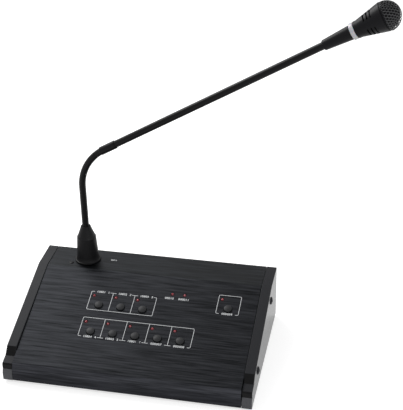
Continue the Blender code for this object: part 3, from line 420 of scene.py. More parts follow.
def settle(work, name):
    """A kept mesh with seams welded, normals outwards and sharp corners sharp."""
    bmesh.ops.remove_doubles(work, verts=work.verts, dist=WELD)
    bmesh.ops.recalc_face_normals(work, faces=work.faces)
    mesh = kept(work, name)
    mesh.set_sharp_from_angle(angle=SMOOTH_ANGLE)
    return mesh


def loft(work, rows):
    """Skins rows of points into one closed bar."""
    rows = [[work.verts.new(point) for point in row] for row in rows]
    for a, b in zip(rows, rows[1:]):
        for j in range(len(a)):
            k = (j + 1) % len(a)
            work.faces.new((a[j], a[k], b[k], b[j]))
    work.faces.new(rows[0])
    work.faces.new(rows[-1])


def turned(name, outline, sides=SIDES):
    """A solid turned about Z from (radius, height) points."""
    work = bmesh.new()
    ring = [work.verts.new((radius, 0, height)) for radius, height in outline]
    edges = [work.edges.new(pair) for pair in zip(ring, ring[1:])]
    bmesh.ops.spin(work, geom=ring + edges, axis=(0, 0, 1), cent=(0, 0, 0),
                   angle=math.tau, steps=sides, use_merge=True)
    return settle(work, name)


def hoop(name, outline, edge, sides=SIDES):
    """A turned ring or tube, whose outline closes on itself."""
    soft = rounded(outline, edge, closed=True)
    return turned(name, soft + soft[:1], sides)


print("a turned piece has", SIDES, "sides")


# %% [markdown]
# A cut is a Boolean between two temporary objects whose result is kept as a plain mesh. The modifier could
# stay on the piece, but then its cutter would have to stay hidden in the scene as well.

# %% Cutting and placing
def add_object(name, data):
    """A new object in the scene."""
    item = bpy.data.objects.new(name, data)
    bpy.context.scene.collection.objects.link(item)
    return item


def result_of(item):
    """A plain mesh of what an object's modifier or text makes. The object is removed."""
    bpy.context.view_layer.update()
    mesh = bpy.data.meshes.new_from_object(item.evaluated_get(bpy.context.evaluated_depsgraph_get()))
    bpy.data.objects.remove(item)
    return mesh


def carved(mesh, cutter):
    """The mesh with the cutter's volume taken out."""
    piece = add_object("carved", mesh)
    tool = add_object("tool", cutter)
    cut = piece.modifiers.new("cut", "BOOLEAN")
    cut.operation = "DIFFERENCE"
    cut.solver = "EXACT"
    cut.object = tool
    result = result_of(piece)
    bpy.data.objects.remove(tool)
    result.shade_smooth()
    result.set_sharp_from_angle(angle=SMOOTH_ANGLE)
    return result


def add_piece(name, mesh, finish, body, place=None, stands_for=()):
    """Puts a mesh in the scene, in its finish, and lets it ride on a body.
    """
    if body == "head" and place:
        mesh.transform(place)
        place = None
    piece = add_object(name, mesh)
    piece.matrix_world = place or Matrix()
    mesh.materials.clear()
    mesh.materials.append(finish)
    if body:
        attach(piece, body)
    if stands_for:
        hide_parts(*stands_for)
    print("piece:", name, "faces:", len(mesh.polygons))
    return piece


def box_in(node, place):
    """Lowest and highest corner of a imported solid, measured in a place of its own."""
    view = place.inverted()
    points = [view @ vertex.co for vertex in NODES[node].data.vertices]
    return (Vector([min(values) for values in zip(*points)]),
            Vector([max(values) for values in zip(*points)]))


# %% [markdown]
# ## Two places to measure from
# Buttons, lamps and printing lie on the slope, so the slope gets a place of its own: X along the console, Y
# up the slope, Z square to the sheet. A button's joint moves square to the sheet, and that gives the tilt.
# The head gets another: Z along the tube, from the tail's first edge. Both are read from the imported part.

# %% The slope's place
RIGHT = Vector((1, 0, 0))
SQUARE = -Vector(JOINTS["zone_press_1"]["axis"]).normalized()
UPHILL = SQUARE.cross(RIGHT)
SLOPE_LEVEL = max(SQUARE.dot(vertex.co) for vertex in NODES["top_panel"].data.vertices)
SLOPE = Matrix((RIGHT, UPHILL, SQUARE)).transposed().to_4x4()
SLOPE.translation = SQUARE * SLOPE_LEVEL
print("slope in degrees:", round(math.degrees(SQUARE.angle(Vector((0, 0, 1)))), 2))


# %% The head's place
def middle(node):
    """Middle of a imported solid's box."""
    low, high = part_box(node)
    return (low + high) / 2


ALONG = (middle("head_ring") - middle("neck_ferrule")).normalized()
ASIDE = Vector((0, 1, 0))
HEAD = Matrix((ASIDE.cross(ALONG), ASIDE, ALONG)).transposed().to_4x4()
HEAD.translation = middle("head_ring")
HEAD.translation += ALONG * box_in("head_tail", HEAD)[0].z
print("tube's rise in degrees:", round(90 - math.degrees(ALONG.angle(Vector((0, 0, 1)))), 2))


# %% [markdown]
# ## Sheet, cheeks and plates
# These solids have the right shape but razor edges, and no real edge is that sharp. Each gets a copy of its
# own mesh, welded, with its flat faces made whole again, and a bevel rounds the edges. The long bends of the
# sheet get a wider radius than the rims of its holes, because bending aluminium always leaves one.

# %% Rounded copies of the flat solids
FLAT_ANGLE, BEND_ANGLE, EDGE_ANGLE = math.radians(0.3), math.radians(5), math.radians(30)
LONG_EDGE = 0.150
EDGE_SEGMENTS, LARGE_FACES_FIRST = 3, 100


def rounded_copy(node, finish, edge, bend=None):
    """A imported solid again, with its edges rounded and its long bends wider."""
    work = bmesh.new()
    work.from_mesh(NODES[node].data)
    bmesh.ops.remove_doubles(work, verts=work.verts, dist=WELD)
    bmesh.ops.dissolve_limit(work, angle_limit=FLAT_ANGLE, verts=work.verts, edges=work.edges)
    weight = work.edges.layers.float.new("bevel_weight_edge")
    widest = bend or edge
    for side in work.edges:
        if len(side.link_faces) == 2 and side.calc_face_angle() > EDGE_ANGLE:
            side[weight] = edge / widest
        if bend and side.calc_length() > LONG_EDGE and side.calc_face_angle(0) > BEND_ANGLE:
            side[weight] = 1.0
    name = node + "_skin"
    piece = add_piece(name, kept(work, name), finish, "console", stands_for=[node])
    soft = piece.modifiers.new("soft_edges", "BEVEL")
    soft.limit_method = "WEIGHT"
    soft.width = widest
    soft.segments = EDGE_SEGMENTS
    soft.use_clamp_overlap = False
    even = piece.modifiers.new("flat_faces", "WEIGHTED_NORMAL")
    even.mode = "FACE_AREA"
    even.weight = LARGE_FACES_FIRST
    return piece


panel = rounded_copy("top_panel", PANEL_FINISH, edge=0.00015, bend=0.0008)
left_cheek = rounded_copy("left_cheek", CHEEK_FINISH, edge=0.0002)
right_cheek = rounded_copy("right_cheek", CHEEK_FINISH, edge=0.0002)
rounded_copy("rear_panel", PANEL_FINISH, edge=0.0002)
rounded_copy("bottom_plate", PLATE_FINISH, edge=0.0002)
rounded_copy("link_socket", NYLON_FINISH, edge=0.0002)


# %% [markdown]
# The forward faces of the two steps on each cheek's nose are painted near black, painted shade that reads as
# black bands between the satin faces, and the lip below is painted paler, a painted highlight. The outer
# sides are smoother than the tops, so they mirror the room. Faces could be picked by number, but their
# numbers change with the mesh. Height and direction find them every time, and the flats of the panel in the
# same way.

# %% Faces with a finish of their own
# Bands of height above the case's foot, in metres.
UPPER_STEP, LOWER_STEP, LIP = (0.0184, 0.0246), (0.0108, 0.0164), (0.0, 0.0108)
CHAMFER, FRONT = (0.0112, 0.0180), (0.0, 0.0112)
# Least share of a face's direction that counts as steep or as level.
STEEP, LEVEL = 0.6, 0.99


def steep_front(*bands):
    """A rule that picks faces that look forward and have their middle in one of the bands."""
    return lambda face: face.normal.y < -STEEP and any(low < face.center.z < high for low, high in bands)


def finish_faces(piece, rules):
    """Gives each face the finish of the first rule that it meets. The rest keep the piece's own."""
    for finish, rule in rules:
        piece.data.materials.append(finish)
    for face in piece.data.polygons:
        met = [i for i, (finish, rule) in enumerate(rules, start=1) if rule(face)]
        face.material_index = met[0] if met else 0
    print(piece.name, "finishes:", len(piece.data.materials))


# Forward faces of the nose steps are painted near black as shade, and the lip's forward face paler as a
# highlight.
for cheek, side in ((left_cheek, -1), (right_cheek, 1)):
    finish_faces(cheek, ((PAINTED_SHADE_BLACK, steep_front(UPPER_STEP, LOWER_STEP)),
                         (LIP_PAINTED_HIGHLIGHT, steep_front(LIP)),
                         (SIDE_FINISH, lambda face: face.normal.x * side > STEEP)))
# The chamfer and front faces take the painted light, and the level strip takes the painted shade.
finish_faces(panel, ((CHAMFER_PAINTED_LIGHT, steep_front(CHAMFER)), (FRONT_PAINTED_LIGHT, steep_front(FRONT)),
                     (STRIP_PAINTED_SHADE, lambda face: face.normal.z > LEVEL)))


# %% [markdown]
# ## Solids that keep their shape
# The board, the push switches and the nut are inside the closed case. Modelling them again would gain
# nothing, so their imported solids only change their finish.

# %% Finishes for the carried-over solids
CARRIED_OVER = {"circuit_board": BOARD_FINISH, "neck_nut": ZINC_FINISH}
CARRIED_OVER.update((node, NYLON_FINISH) for node in NODES if node.startswith("switch_"))
for node, finish in CARRIED_OVER.items():
    NODES[node].material_slots[0].material = finish
print("solids carried over:", len(CARRIED_OVER))


# %% [markdown]
# ## Screws and feet
# Each cheek is held by two round-headed screws with a hexagon socket. The head is turned from its outline,
# which gives its curve in one step, and the socket is cut out of it. The feet are rubber buttons, turned
# too, each with a peg that snaps through the bottom plate.

# %% Cheek screws
SCREW_HEAD, SCREW_RISE = 0.0036, 0.0016
SCREW_SHANK, SCREW_LENGTH = 0.0017, 0.0190
KEY_SIZE, KEY_DEPTH = 0.0013, 0.0010
SEAT_GAP = 0.0003
DOME_STEPS = 8


def screw_mesh():
    """A screw along Z with its head's flat side at height 0."""
    dome = [(SCREW_HEAD * math.sin(turn), SCREW_RISE * math.cos(turn)) for turn in quarter(DOME_STEPS)]
    shank = [(SCREW_SHANK, 0), (SCREW_SHANK, -SCREW_LENGTH), (0, -SCREW_LENGTH)]
    key = bmesh.new()
    bmesh.ops.create_cone(key, cap_ends=True, segments=6, radius1=KEY_SIZE, radius2=KEY_SIZE,
                          depth=2 * KEY_DEPTH, matrix=Matrix.Translation((0, 0, SCREW_RISE)))
    return carved(turned("screw", dome + shank), settle(key, "key"))


SCREWS = sorted(node for node in NODES if node.startswith("cheek_screw_"))
for node in SCREWS:
    low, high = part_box(node)
    side = 1 if high.x > 0 else -1
    seat = middle(node)
    seat.x = (high.x if side > 0 else low.x) - side * SCREW_RISE
    outwards = Matrix.Rotation(side * math.pi / 2, 4, "Y")
    add_piece(node.replace("cheek", "round_head"), screw_mesh(), SCREW_FINISH, "console",
              Matrix.Translation(seat) @ outwards, [node])

# %% Rubber feet
FOOT_RADIUS, FOOT_HEIGHT, FOOT_CURVE = 0.006, 0.0025, 0.0008
PEG_RADIUS, PEG_BULB, PEG_TOP = 0.0025, 0.0034, 0.0034
PLATE_TOP, PLATE_UNDERSIDE = 0.0018, 0.0001

FEET = sorted(node for node in NODES if node.startswith("foot_"))
for node in FEET:
    outline = [(0, PEG_TOP), (PEG_RADIUS, PEG_TOP), (PEG_BULB, PLATE_TOP), (PEG_RADIUS, PLATE_TOP),
               (PEG_RADIUS, PLATE_UNDERSIDE), (FOOT_RADIUS, PLATE_UNDERSIDE), (FOOT_RADIUS, -FOOT_HEIGHT),
               (0, -FOOT_HEIGHT)]
    spot = middle(node)
    spot.z = 0
    add_piece("rubber_" + node, turned(node, rounded(outline, FOOT_CURVE)), FOOT_FINISH, "console",
              Matrix.Translation(spot), [node])


# %% [markdown]
# ## Buttons and lamps
# Each call button is a low domed cap. Its rim is rounded and stands just above the sheet, and a flange under
# the sheet stops it from falling out. A lamp is a 3 mm dome that looks out of its own hole. A bevelled
# cylinder would give the rims only, so both are turned from outlines. Their places are measured on the slope.

# %% Domed caps
CAP_RADIUS, CAP_FLANGE, PLUNGER = 0.0037, 0.0048, 0.0017
CAP_PROUD, CAP_DOME, CAP_CURVE = 0.0012, 0.0006, 0.0009
CROWN_STEPS = 10
SHEET, FLANGE = 0.002, 0.0009
FLANGE_TOP = -SHEET - SEAT_GAP
FLANGE_FOOT = FLANGE_TOP - FLANGE


def on_slope(node):
    """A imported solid's middle, across and up the slope, and its lowest point."""
    low, high = box_in(node, SLOPE)
    return (low.x + high.x) / 2, (low.y + high.y) / 2, low.z


def cap_mesh(foot):
    """A cap with its flange and plunger, down to the foot."""
    shares = [i / CROWN_STEPS for i in range(CROWN_STEPS)]
    crown = [(CAP_RADIUS * share, CAP_PROUD + CAP_DOME * (1 - share ** 2)) for share in shares]
    rim = rounded([crown[-1], (CAP_RADIUS, CAP_PROUD), (CAP_RADIUS, FLANGE_TOP)], CAP_CURVE, steps=5)
    stem = [(CAP_FLANGE, FLANGE_TOP), (CAP_FLANGE, FLANGE_FOOT), (PLUNGER, FLANGE_FOOT), (PLUNGER, foot),
            (0, foot)]
    return turned("cap", crown[:-1] + rim + stem)


BUTTONS = [joint["child"] for joint in frame["joints"] if joint["type"] == "slide"]
for node in BUTTONS:
    x, y, foot = on_slope(node)
    add_piece(node + "_cap", cap_mesh(foot), CAP_FINISH, node, SLOPE @ Matrix.Translation((x, y, 0)),
              [node])
print("buttons:", len(BUTTONS))

# %% Lamps
LAMP_RADIUS, LAMP_PROUD, LAMP_LENGTH = 0.0015, 0.0007, 0.0050
LAMP_FOOT = LAMP_PROUD - LAMP_LENGTH
LAMP_COLLAR, COLLAR_HEIGHT = 0.0019, 0.0008
LEG, LEG_PITCH = 0.0005, 0.00254
FEW_SIDES = 32


def lamp_mesh():
    """A domed lens on a collar."""
    centre = LAMP_PROUD - LAMP_RADIUS
    dome = [(LAMP_RADIUS * math.sin(turn), centre + LAMP_RADIUS * math.cos(turn))
            for turn in quarter(DOME_STEPS)]
    collar = [(LAMP_RADIUS, LAMP_FOOT + COLLAR_HEIGHT), (LAMP_COLLAR, LAMP_FOOT + COLLAR_HEIGHT),
              (LAMP_COLLAR, LAMP_FOOT), (0, LAMP_FOOT)]
    return turned("lamp", dome + collar, FEW_SIDES)


def leg_mesh(foot):
    """Two square wires from the lamp down to the foot."""
    work = bmesh.new()
    for side in (-1, 1):
        centre = Matrix.Translation((side * LEG_PITCH / 2, 0, (LAMP_FOOT + foot) / 2))
        size = Matrix.Diagonal((LEG, LEG, LAMP_FOOT - foot, 1))
        bmesh.ops.create_cube(work, size=1.0, matrix=centre @ size)
    return settle(work, "legs")


LAMPS = [name for name in NODES if "led_" in name]
for node in LAMPS:
    x, y, foot = on_slope(node)
    place = SLOPE @ Matrix.Translation((x, y, 0))
    add_piece(node + "_lens", lamp_mesh(), LAMP_FINISH, "console", place, [node])
    add_piece(node + "_legs", leg_mesh(foot), ZINC_FINISH, "console", place)
print("lamps:", len(LAMPS))


# %% [markdown]
# ## Printing on the slope
# White lines frame each button cell. Printing is often a picture on the surface. Here it is modelled: screen
# ink stands about 0.02 mm above the metal, so the lines are ribbons, 0.03 mm high so that none is lost in
# the sheet. They stay sharp at any distance and leave a gap where a plain number stands.

# %% Ink ribbons
INK_HEIGHT = 0.00003
LINE_WIDTH = 0.00042
CORNER = 0.0012
# A corner sharper than this would stretch the line too far, so it is cut short.
SHARPEST = 0.5
CELL_PITCH, CELL_HEIGHT, BUTTON_RISE = 0.0202, 0.0205, 0.0057


def ribbon(work, path):
    """A flat line of ink along (x, y) points on the slope."""
    points = [Vector(point) for point in path]
    rows = []
    for i, point in enumerate(points):
        ways = [(b - a).normalized() for a, b in zip(points[max(i - 1, 0):i + 1], points[max(i, 1):i + 2])
                if (b - a).length > WELD]
        way = sum(ways, Vector((0, 0))).normalized()
        across = Vector((-way.y, way.x)) * LINE_WIDTH / 2 / max(way.dot(ways[0]), SHARPEST)
        left, right = point - across, point + across
        rows.append([(*left, 0), (*right, 0), (*right, INK_HEIGHT), (*left, INK_HEIGHT)])
    loft(work, rows)


print("line width in mm:", round(LINE_WIDTH * 1000, 2))


# %% [markdown]
# The upper row's numbers stand in its top edge, the lower row's and the single cell's in their bottom edge.
# So the frame of a row is drawn as one path that starts and ends at a gap, with short pieces between the
# gaps and dividers between the cells.

# %% Frames round the button cells
GAP_WIDTH = 0.0146


def frame_row(work, nodes, gaps_on_top):
    """The frame of a row of cells, open where each cell's number stands."""
    centres = [on_slope(node)[0] for node in nodes]
    base = on_slope(nodes[0])[1] - BUTTON_RISE
    top = base + CELL_HEIGHT
    left = centres[0] - CELL_PITCH / 2
    right = centres[-1] + CELL_PITCH / 2
    gap_row, far_row = (top, base) if gaps_on_top else (base, top)
    first, last = centres[0] - GAP_WIDTH / 2, centres[-1] + GAP_WIDTH / 2
    round_path = [(first, gap_row), (left, gap_row), (left, far_row), (right, far_row), (right, gap_row),
                  (last, gap_row)]
    ribbon(work, rounded(round_path, CORNER, steps=4))
    for a, b in zip(centres, centres[1:]):
        ribbon(work, [(a + GAP_WIDTH / 2, gap_row), (b - GAP_WIDTH / 2, gap_row)])
        ribbon(work, [((a + b) / 2, far_row), ((a + b) / 2, gap_row)])
    return [(centre, gap_row) for centre in centres]


UPPER = ["zone_button_1", "zone_button_2", "zone_button_3"]
LOWER = ["zone_button_4", "zone_button_5", "zone_button_6", "all_call_button", "talk_button"]
lines = bmesh.new()
number_spots = frame_row(lines, UPPER, True)
number_spots += frame_row(lines, LOWER, False)
number_spots += frame_row(lines, ["alarm_button"], False)
add_piece("printed_frames", settle(lines, "printed_frames"), INK_FINISH, "console", SLOPE)
print("numbers to print:", len(number_spots))


# %% [markdown]
# Each cell and each status lamp carries a plain number. A text curve with a tiny extrusion gives ink of the
# right height, and it is turned into mesh so that all the numbers are one piece.

# %% Plain numbers
# A digit's share of the font's size, and the space between digits as a share of the usual one.
DIGIT_SHARE, DIGIT_SPACING = 0.70, 1.1
NUMBER_HEIGHT, NUMBER_WEIGHT = 0.0021, 0.00007
LONG_SHIFT, DIGIT_SHIFT = -0.0014, 0.0058
STATUS_DROP = 0.0050
STATUS_NUMBERS = (("status_led_1", "00010", -0.0020), ("status_led_2", "000011", 0.0))
ZONES, ZONE_BASE = 6, 10800


def print_number(work, text, spot, height=NUMBER_HEIGHT):
    """Adds a number, centred on a spot, to a mesh."""
    letters = bpy.data.curves.new("number", "FONT")
    letters.body = text
    letters.size = height / DIGIT_SHARE
    letters.space_character = DIGIT_SPACING
    letters.extrude = INK_HEIGHT / 2
    letters.offset = NUMBER_WEIGHT
    letters.align_x, letters.align_y = "CENTER", "CENTER"
    flat = result_of(add_object("number", letters))
    flat.transform(Matrix.Translation((*spot, INK_HEIGHT / 2)))
    work.from_mesh(flat)
    bpy.data.meshes.remove(flat)


numbers = bmesh.new()
for i, (x, y) in enumerate(number_spots, start=1):
    if i > ZONES:
        print_number(numbers, "%06d" % i, (x, y))
        continue
    print_number(numbers, "%05d" % (ZONE_BASE + i), (x + LONG_SHIFT, y))
    print_number(numbers, "%d" % i, (x + DIGIT_SHIFT, y))
for node, number, aside in STATUS_NUMBERS:
    x, y = on_slope(node)[:2]
    print_number(numbers, number, (x + aside, y - STATUS_DROP))
add_piece("printed_numbers", settle(numbers, "printed_numbers"), INK_FINISH, "console", SLOPE)


# %% [markdown]
# ## On the flat strip
# A small number is printed beside the boot, and a low round plug in near black sits on its other side. Both
# are placed from the neck's foot, so that they follow it.

# %% Small number and plug on the strip
STRIP_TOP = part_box("top_panel")[1].z
NECK_FOOT = Vector((*JOINTS["neck_bend_1"]["pos_m"][:2], STRIP_TOP))
MARK_ASIDE, MARK_BACK, MARK_HEIGHT = 0.0247, 0.0013, 0.0015
PLUG_ASIDE, PLUG_FORWARD = 0.0135, 0.0094
PLUG_RADIUS, PLUG_FLAT, PLUG_RISE, PLUG_SHOULDER = 0.0024, 0.00168, 0.0005, 0.0004

mark = bmesh.new()
print_number(mark, "00012", (0, MARK_BACK), MARK_HEIGHT)
add_piece("printed_mark", settle(mark, "printed_mark"), INK_FINISH, "console",
          Matrix.Translation(NECK_FOOT + MARK_ASIDE * RIGHT))

plug_line = [(0, PLUG_RISE), (PLUG_FLAT, PLUG_SHOULDER), (PLUG_RADIUS, 0), (0, 0)]
plug_spot = NECK_FOOT - Vector((PLUG_ASIDE, PLUG_FORWARD, 0))
# The plug takes the near-black finish that paints shade on the cheeks' steps.
add_piece("strip_plug", turned("strip_plug", rounded(plug_line, PLUG_RISE / 2)), PAINTED_SHADE_BLACK, "console",
          Matrix.Translation(plug_spot))


# %% [markdown]
# ## Sockets at the back
# The link socket is a modular jack: eight sprung gold wires slope down from its roof. The power jack is a
# nylon barrel round a nickel pin. They are seen only from behind, but a part is turned over and looked into,
# so a loop makes the wires from one bent path instead of a dark patch standing for them.

# %% Link contacts
CONTACTS, CONTACT_PITCH, CONTACT_WIDTH, CONTACT_THICKNESS = 8, 0.00102, 0.00045, 0.0002
CONTACT_PATH = ((0.0110, 0.0034), (0.0042, 0.0030), (0.0036, 0.0022), (0.0095, -0.0008))
CONTACT_BEND = 0.0008
CORNERS = ((-1, -1), (1, -1), (1, 1), (-1, 1))


def contact_mesh():
    """Bent wires side by side. Their path is (depth from the back, height from the middle)."""
    work = bmesh.new()
    path = rounded(CONTACT_PATH, CONTACT_BEND)
    for i in range(CONTACTS):
        x = (i - (CONTACTS - 1) / 2) * CONTACT_PITCH
        loft(work, [[(x + side * CONTACT_WIDTH / 2, -depth, height + up * CONTACT_THICKNESS / 2)
                     for side, up in CORNERS] for depth, height in path])
    return settle(work, "contacts")


back_face = middle("link_socket")
back_face.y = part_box("link_socket")[1].y
add_piece("link_contacts", contact_mesh(), GOLD_FINISH, "console", Matrix.Translation(back_face))

# %% Power jack
JACK_RADIUS, JACK_FLANGE, JACK_FLANGE_HEIGHT, JACK_DEPTH = 0.004, 0.0055, 0.0012, 0.013
JACK_BORE, JACK_BORE_DEPTH, JACK_PIN, PIN_SINK = 0.003, 0.010, 0.001, 0.0012
JACK_EDGE = 0.0003

front = SEAT_GAP + JACK_FLANGE_HEIGHT
barrel = [(JACK_BORE, -JACK_BORE_DEPTH), (JACK_BORE, front), (JACK_FLANGE, front),
          (JACK_FLANGE, SEAT_GAP), (JACK_RADIUS, SEAT_GAP), (JACK_RADIUS, -JACK_DEPTH)]
barrel = [(0, -JACK_BORE_DEPTH)] + rounded(barrel, JACK_EDGE) + [(0, -JACK_DEPTH)]
pin = rounded([(0, -PIN_SINK), (JACK_PIN, -PIN_SINK), (JACK_PIN, -JACK_BORE_DEPTH)], JACK_PIN / 2)
pin.append((0, -JACK_BORE_DEPTH))
jack_spot = middle("power_jack")
jack_spot.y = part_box("power_jack")[1].y - front
jack_place = Matrix.Translation(jack_spot) @ Matrix.Rotation(-math.pi / 2, 4, "X")
add_piece("jack_barrel", turned("jack_barrel", barrel), NYLON_FINISH, "console", jack_place,
          ["power_jack"])
add_piece("jack_pin", turned("jack_pin", pin, FEW_SIDES), NICKEL_FINISH, "console", jack_place)


# %% [markdown]
# ## The boot
# The rubber boot hides the nut and the threads. It has a foot flange, a long tapered wall, a shoulder and a
# conical tip that grips the neck. A plain cone would look the same from the front, but this is a turned
# shell with its real hole and inner rooms, and every corner is rounded.

# %% Neck boot
BOOT_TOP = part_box("neck_boot")[1].z
BOOT_HEIGHT = BOOT_TOP - STRIP_TOP
BOOT_SHOULDER, SHOULDER_RADIUS, SHOULDER_STEP = 0.0257, 0.0088, 0.0006
BOOT_FLANGE, BOOT_FLANGE_HEIGHT = 0.012, 0.0014
BOOT_WAIST, BOOT_WAIST_HEIGHT = 0.0102, 0.0042
TIP_RADIUS, TIP_EDGE, TIP_LIP = 0.0048, 0.0008, 0.0009
NECK_RADIUS = 0.0032
BOOT_GRIP_GAP, BOOT_EDGE = 0.0003, 0.0004
STEM_ROOM, STEM_ROOM_HEIGHT = 0.0075, 0.0036
THREAD_ROOM, THREAD_ROOM_HEIGHT = 0.0053, 0.0143

boot_line = [(TIP_RADIUS - TIP_EDGE, BOOT_HEIGHT), (TIP_RADIUS, BOOT_HEIGHT - TIP_EDGE),
             (TIP_RADIUS, BOOT_HEIGHT - TIP_EDGE - TIP_LIP),
             (SHOULDER_RADIUS - SHOULDER_STEP, BOOT_SHOULDER),
             (SHOULDER_RADIUS, BOOT_SHOULDER - SHOULDER_STEP), (BOOT_WAIST, BOOT_WAIST_HEIGHT),
             (BOOT_WAIST + BOOT_FLANGE_HEIGHT / 2, BOOT_FLANGE_HEIGHT), (BOOT_FLANGE, BOOT_FLANGE_HEIGHT),
             (BOOT_FLANGE, SEAT_GAP), (STEM_ROOM, SEAT_GAP), (STEM_ROOM, STEM_ROOM_HEIGHT),
             (THREAD_ROOM, STEM_ROOM_HEIGHT), (THREAD_ROOM, THREAD_ROOM_HEIGHT),
             (NECK_RADIUS + BOOT_GRIP_GAP, THREAD_ROOM_HEIGHT), (NECK_RADIUS + BOOT_GRIP_GAP, BOOT_HEIGHT)]
add_piece("rubber_boot", hoop("rubber_boot", boot_line, BOOT_EDGE), BOOT_FINISH, "console",
          Matrix.Translation(NECK_FOOT), ["neck_boot"])


# %% [markdown]
# ## The neck's line
# The neck goes straight up, bends over in one round curve and runs straight to the head. The two straight
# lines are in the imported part: one goes up through the first joint, the other through the head. The point
# where they would cross, and the bend's radius, give the whole curve. A curve object could hold it as well,
# but a function that gives the place at any length lets every ring of points be set out along it.

# %% A place at any length along the neck
BEND_RADIUS = 0.045
LEAN = ALONG.angle(Vector((0, 0, 1)))
HEAD_RING = middle("head_ring")
CROSSING = HEAD_RING + ALONG * (NECK_FOOT.x - HEAD_RING.x) / ALONG.x
RISER = CROSSING.z - BOOT_TOP - BEND_RADIUS * math.tan(LEAN / 2)
BEND_LENGTH = BEND_RADIUS * LEAN


def neck_place(length):
    """A place on the neck's line, Z along it, at a length above the boot's tip."""
    turn = min(max(length - RISER, 0) / BEND_RADIUS, LEAN)
    upright = Vector((NECK_FOOT.x, NECK_FOOT.y, BOOT_TOP + min(length, RISER)))
    bend = Vector((BEND_RADIUS * (1 - math.cos(turn)), 0, BEND_RADIUS * math.sin(turn)))
    leaning = ALONG * max(length - RISER - BEND_LENGTH, 0)
    return Matrix.Translation(upright + bend + leaning) @ Matrix.Rotation(turn, 4, "Y")


straight = (HEAD.translation - neck_place(RISER + BEND_LENGTH).translation).dot(ALONG)
print("riser in mm:", round(RISER * 1000, 2), "straight to the head in mm:", round(straight * 1000, 2))


# %% [markdown]
# ## The bendable neck
# A gooseneck is two wires wound into each other, here under black lacquer, so its surface is a row of low
# ribs. It bends everywhere at once. Each of the first four joints gets its own sleeve, built in the resting
# bend and left on no body, so these sleeves stay where they are. At the last joint, beside the stiff
# ferrule, one stiff length ends in a ball and the next turns on it. A groove as wide as a rib leaves both
# room to turn.

# %% Ribbed sleeves
SLEEVE_SIDES = 40
RIB_PITCH, RIB_RELIEF, RIB_STEPS = 0.0015, 0.00012, 6
BALL_RADIUS, BALL_GAP, BALL_STEPS = NECK_RADIUS - 2 * RIB_RELIEF, 0.00004, 10
JOINT_ROOM = RIB_PITCH / 2


def rib_line(start, end):
    """Ribs as points of (length on the neck, 0, radius)."""
    count = round((end - start) / RIB_PITCH * RIB_STEPS)
    lengths = [start + (end - start) * i / count for i in range(count + 1)]
    return [(length, 0, NECK_RADIUS + RIB_RELIEF * (math.cos(math.tau * length / RIB_PITCH) - 1) / 2)
            for length in lengths]


def ball_line(joint, radius, edge):
    """A ball about a joint as points of (the joint's length, how far past it, radius), from an edge on."""
    first = math.asin(edge / radius)
    turns = [first + (math.pi / 2 - first) * i / BALL_STEPS for i in range(BALL_STEPS)]
    return [(joint, radius * math.sin(turn), radius * math.cos(turn)) for turn in turns]


def sleeve_mesh(name, line):
    """A ribbed tube along the neck, unwrapped in metres."""
    work = bmesh.new()
    unwrap = work.loops.layers.uv.new("along")
    turns = [math.tau * j / SLEEVE_SIDES for j in range(SLEEVE_SIDES)]
    rings = []
    for length, past, radius in line:
        place = neck_place(length)
        rings.append([work.verts.new(place @ Vector((radius * math.cos(turn), radius * math.sin(turn), past)))
                      for turn in turns])
    step = NECK_RADIUS * math.tau / SLEEVE_SIDES
    for i, (low, high) in enumerate(zip(rings, rings[1:])):
        for j in range(SLEEVE_SIDES):
            k = (j + 1) % SLEEVE_SIDES
            face = work.faces.new((low[j], low[k], high[k], high[j]))
            spots = ((j, i), (j + 1, i), (j + 1, i + 1), (j, i + 1))
            for loop, (across, up) in zip(face.loops, spots):
                loop[unwrap].uv = (across * step, line[up][0] + line[up][1])
    work.faces.new(reversed(rings[0]))
    work.faces.new(rings[-1])
    return settle(work, name)


print("groove at the last joint in mm:", 2 * JOINT_ROOM * 1000)

# %% Sleeves from joint to joint
NECK_CHAIN = ["console", "neck_1", "neck_2", "neck_3", "neck_4", "head"]
FIRST_JOINT = JOINTS["neck_bend_1"]["pos_m"][2] - BOOT_TOP
JOINT_PITCH = JOINTS["neck_sway_1"]["pos_m"][2] - JOINTS["neck_bend_1"]["pos_m"][2]
# How far the first sleeve reaches into the boot, and the last into the ferrule.
SLEEVE_ROOT = 0.004

for i, (lower, upper) in enumerate(zip(NECK_CHAIN[:-1], NECK_CHAIN[1:-1])):
    joint = FIRST_JOINT + i * JOINT_PITCH
    start = joint - JOINT_PITCH / 2 if i else -SLEEVE_ROOT
    end = joint + JOINT_PITCH / 2
    name = "neck_sleeve_%d" % (i + 1)
    sleeve = add_piece(name, sleeve_mesh(name, rib_line(start, end)), SLEEVE_FINISH, None, None,
                       ["neck_link_%d" % (i + 1)])
    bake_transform(sleeve)

last_joint = joint + JOINT_PITCH
ball = rib_line(end, last_joint - JOINT_ROOM) + ball_line(last_joint, BALL_RADIUS, -JOINT_ROOM)
socket = ball_line(last_joint, BALL_RADIUS + BALL_GAP, JOINT_ROOM)[::-1]
socket += rib_line(last_joint + JOINT_ROOM, last_joint + FIRST_JOINT + SLEEVE_ROOT)
add_piece("neck_sleeve_5", sleeve_mesh("neck_sleeve_5", ball), SLEEVE_FINISH, "neck_4", None)
add_piece("neck_sleeve_6", sleeve_mesh("neck_sleeve_6", socket), SLEEVE_FINISH, "head", None)


# %% [markdown]
# ## Stem, ferrule and tube
# The stem is the neck's threaded foot, seen only when the boot is off. A thread could be a helix, but rings
# of the same pitch look the same and turn in one step. A thin ferrule covers the end of the bendable length,
# and the stiff tube runs on from there into the head's tail.

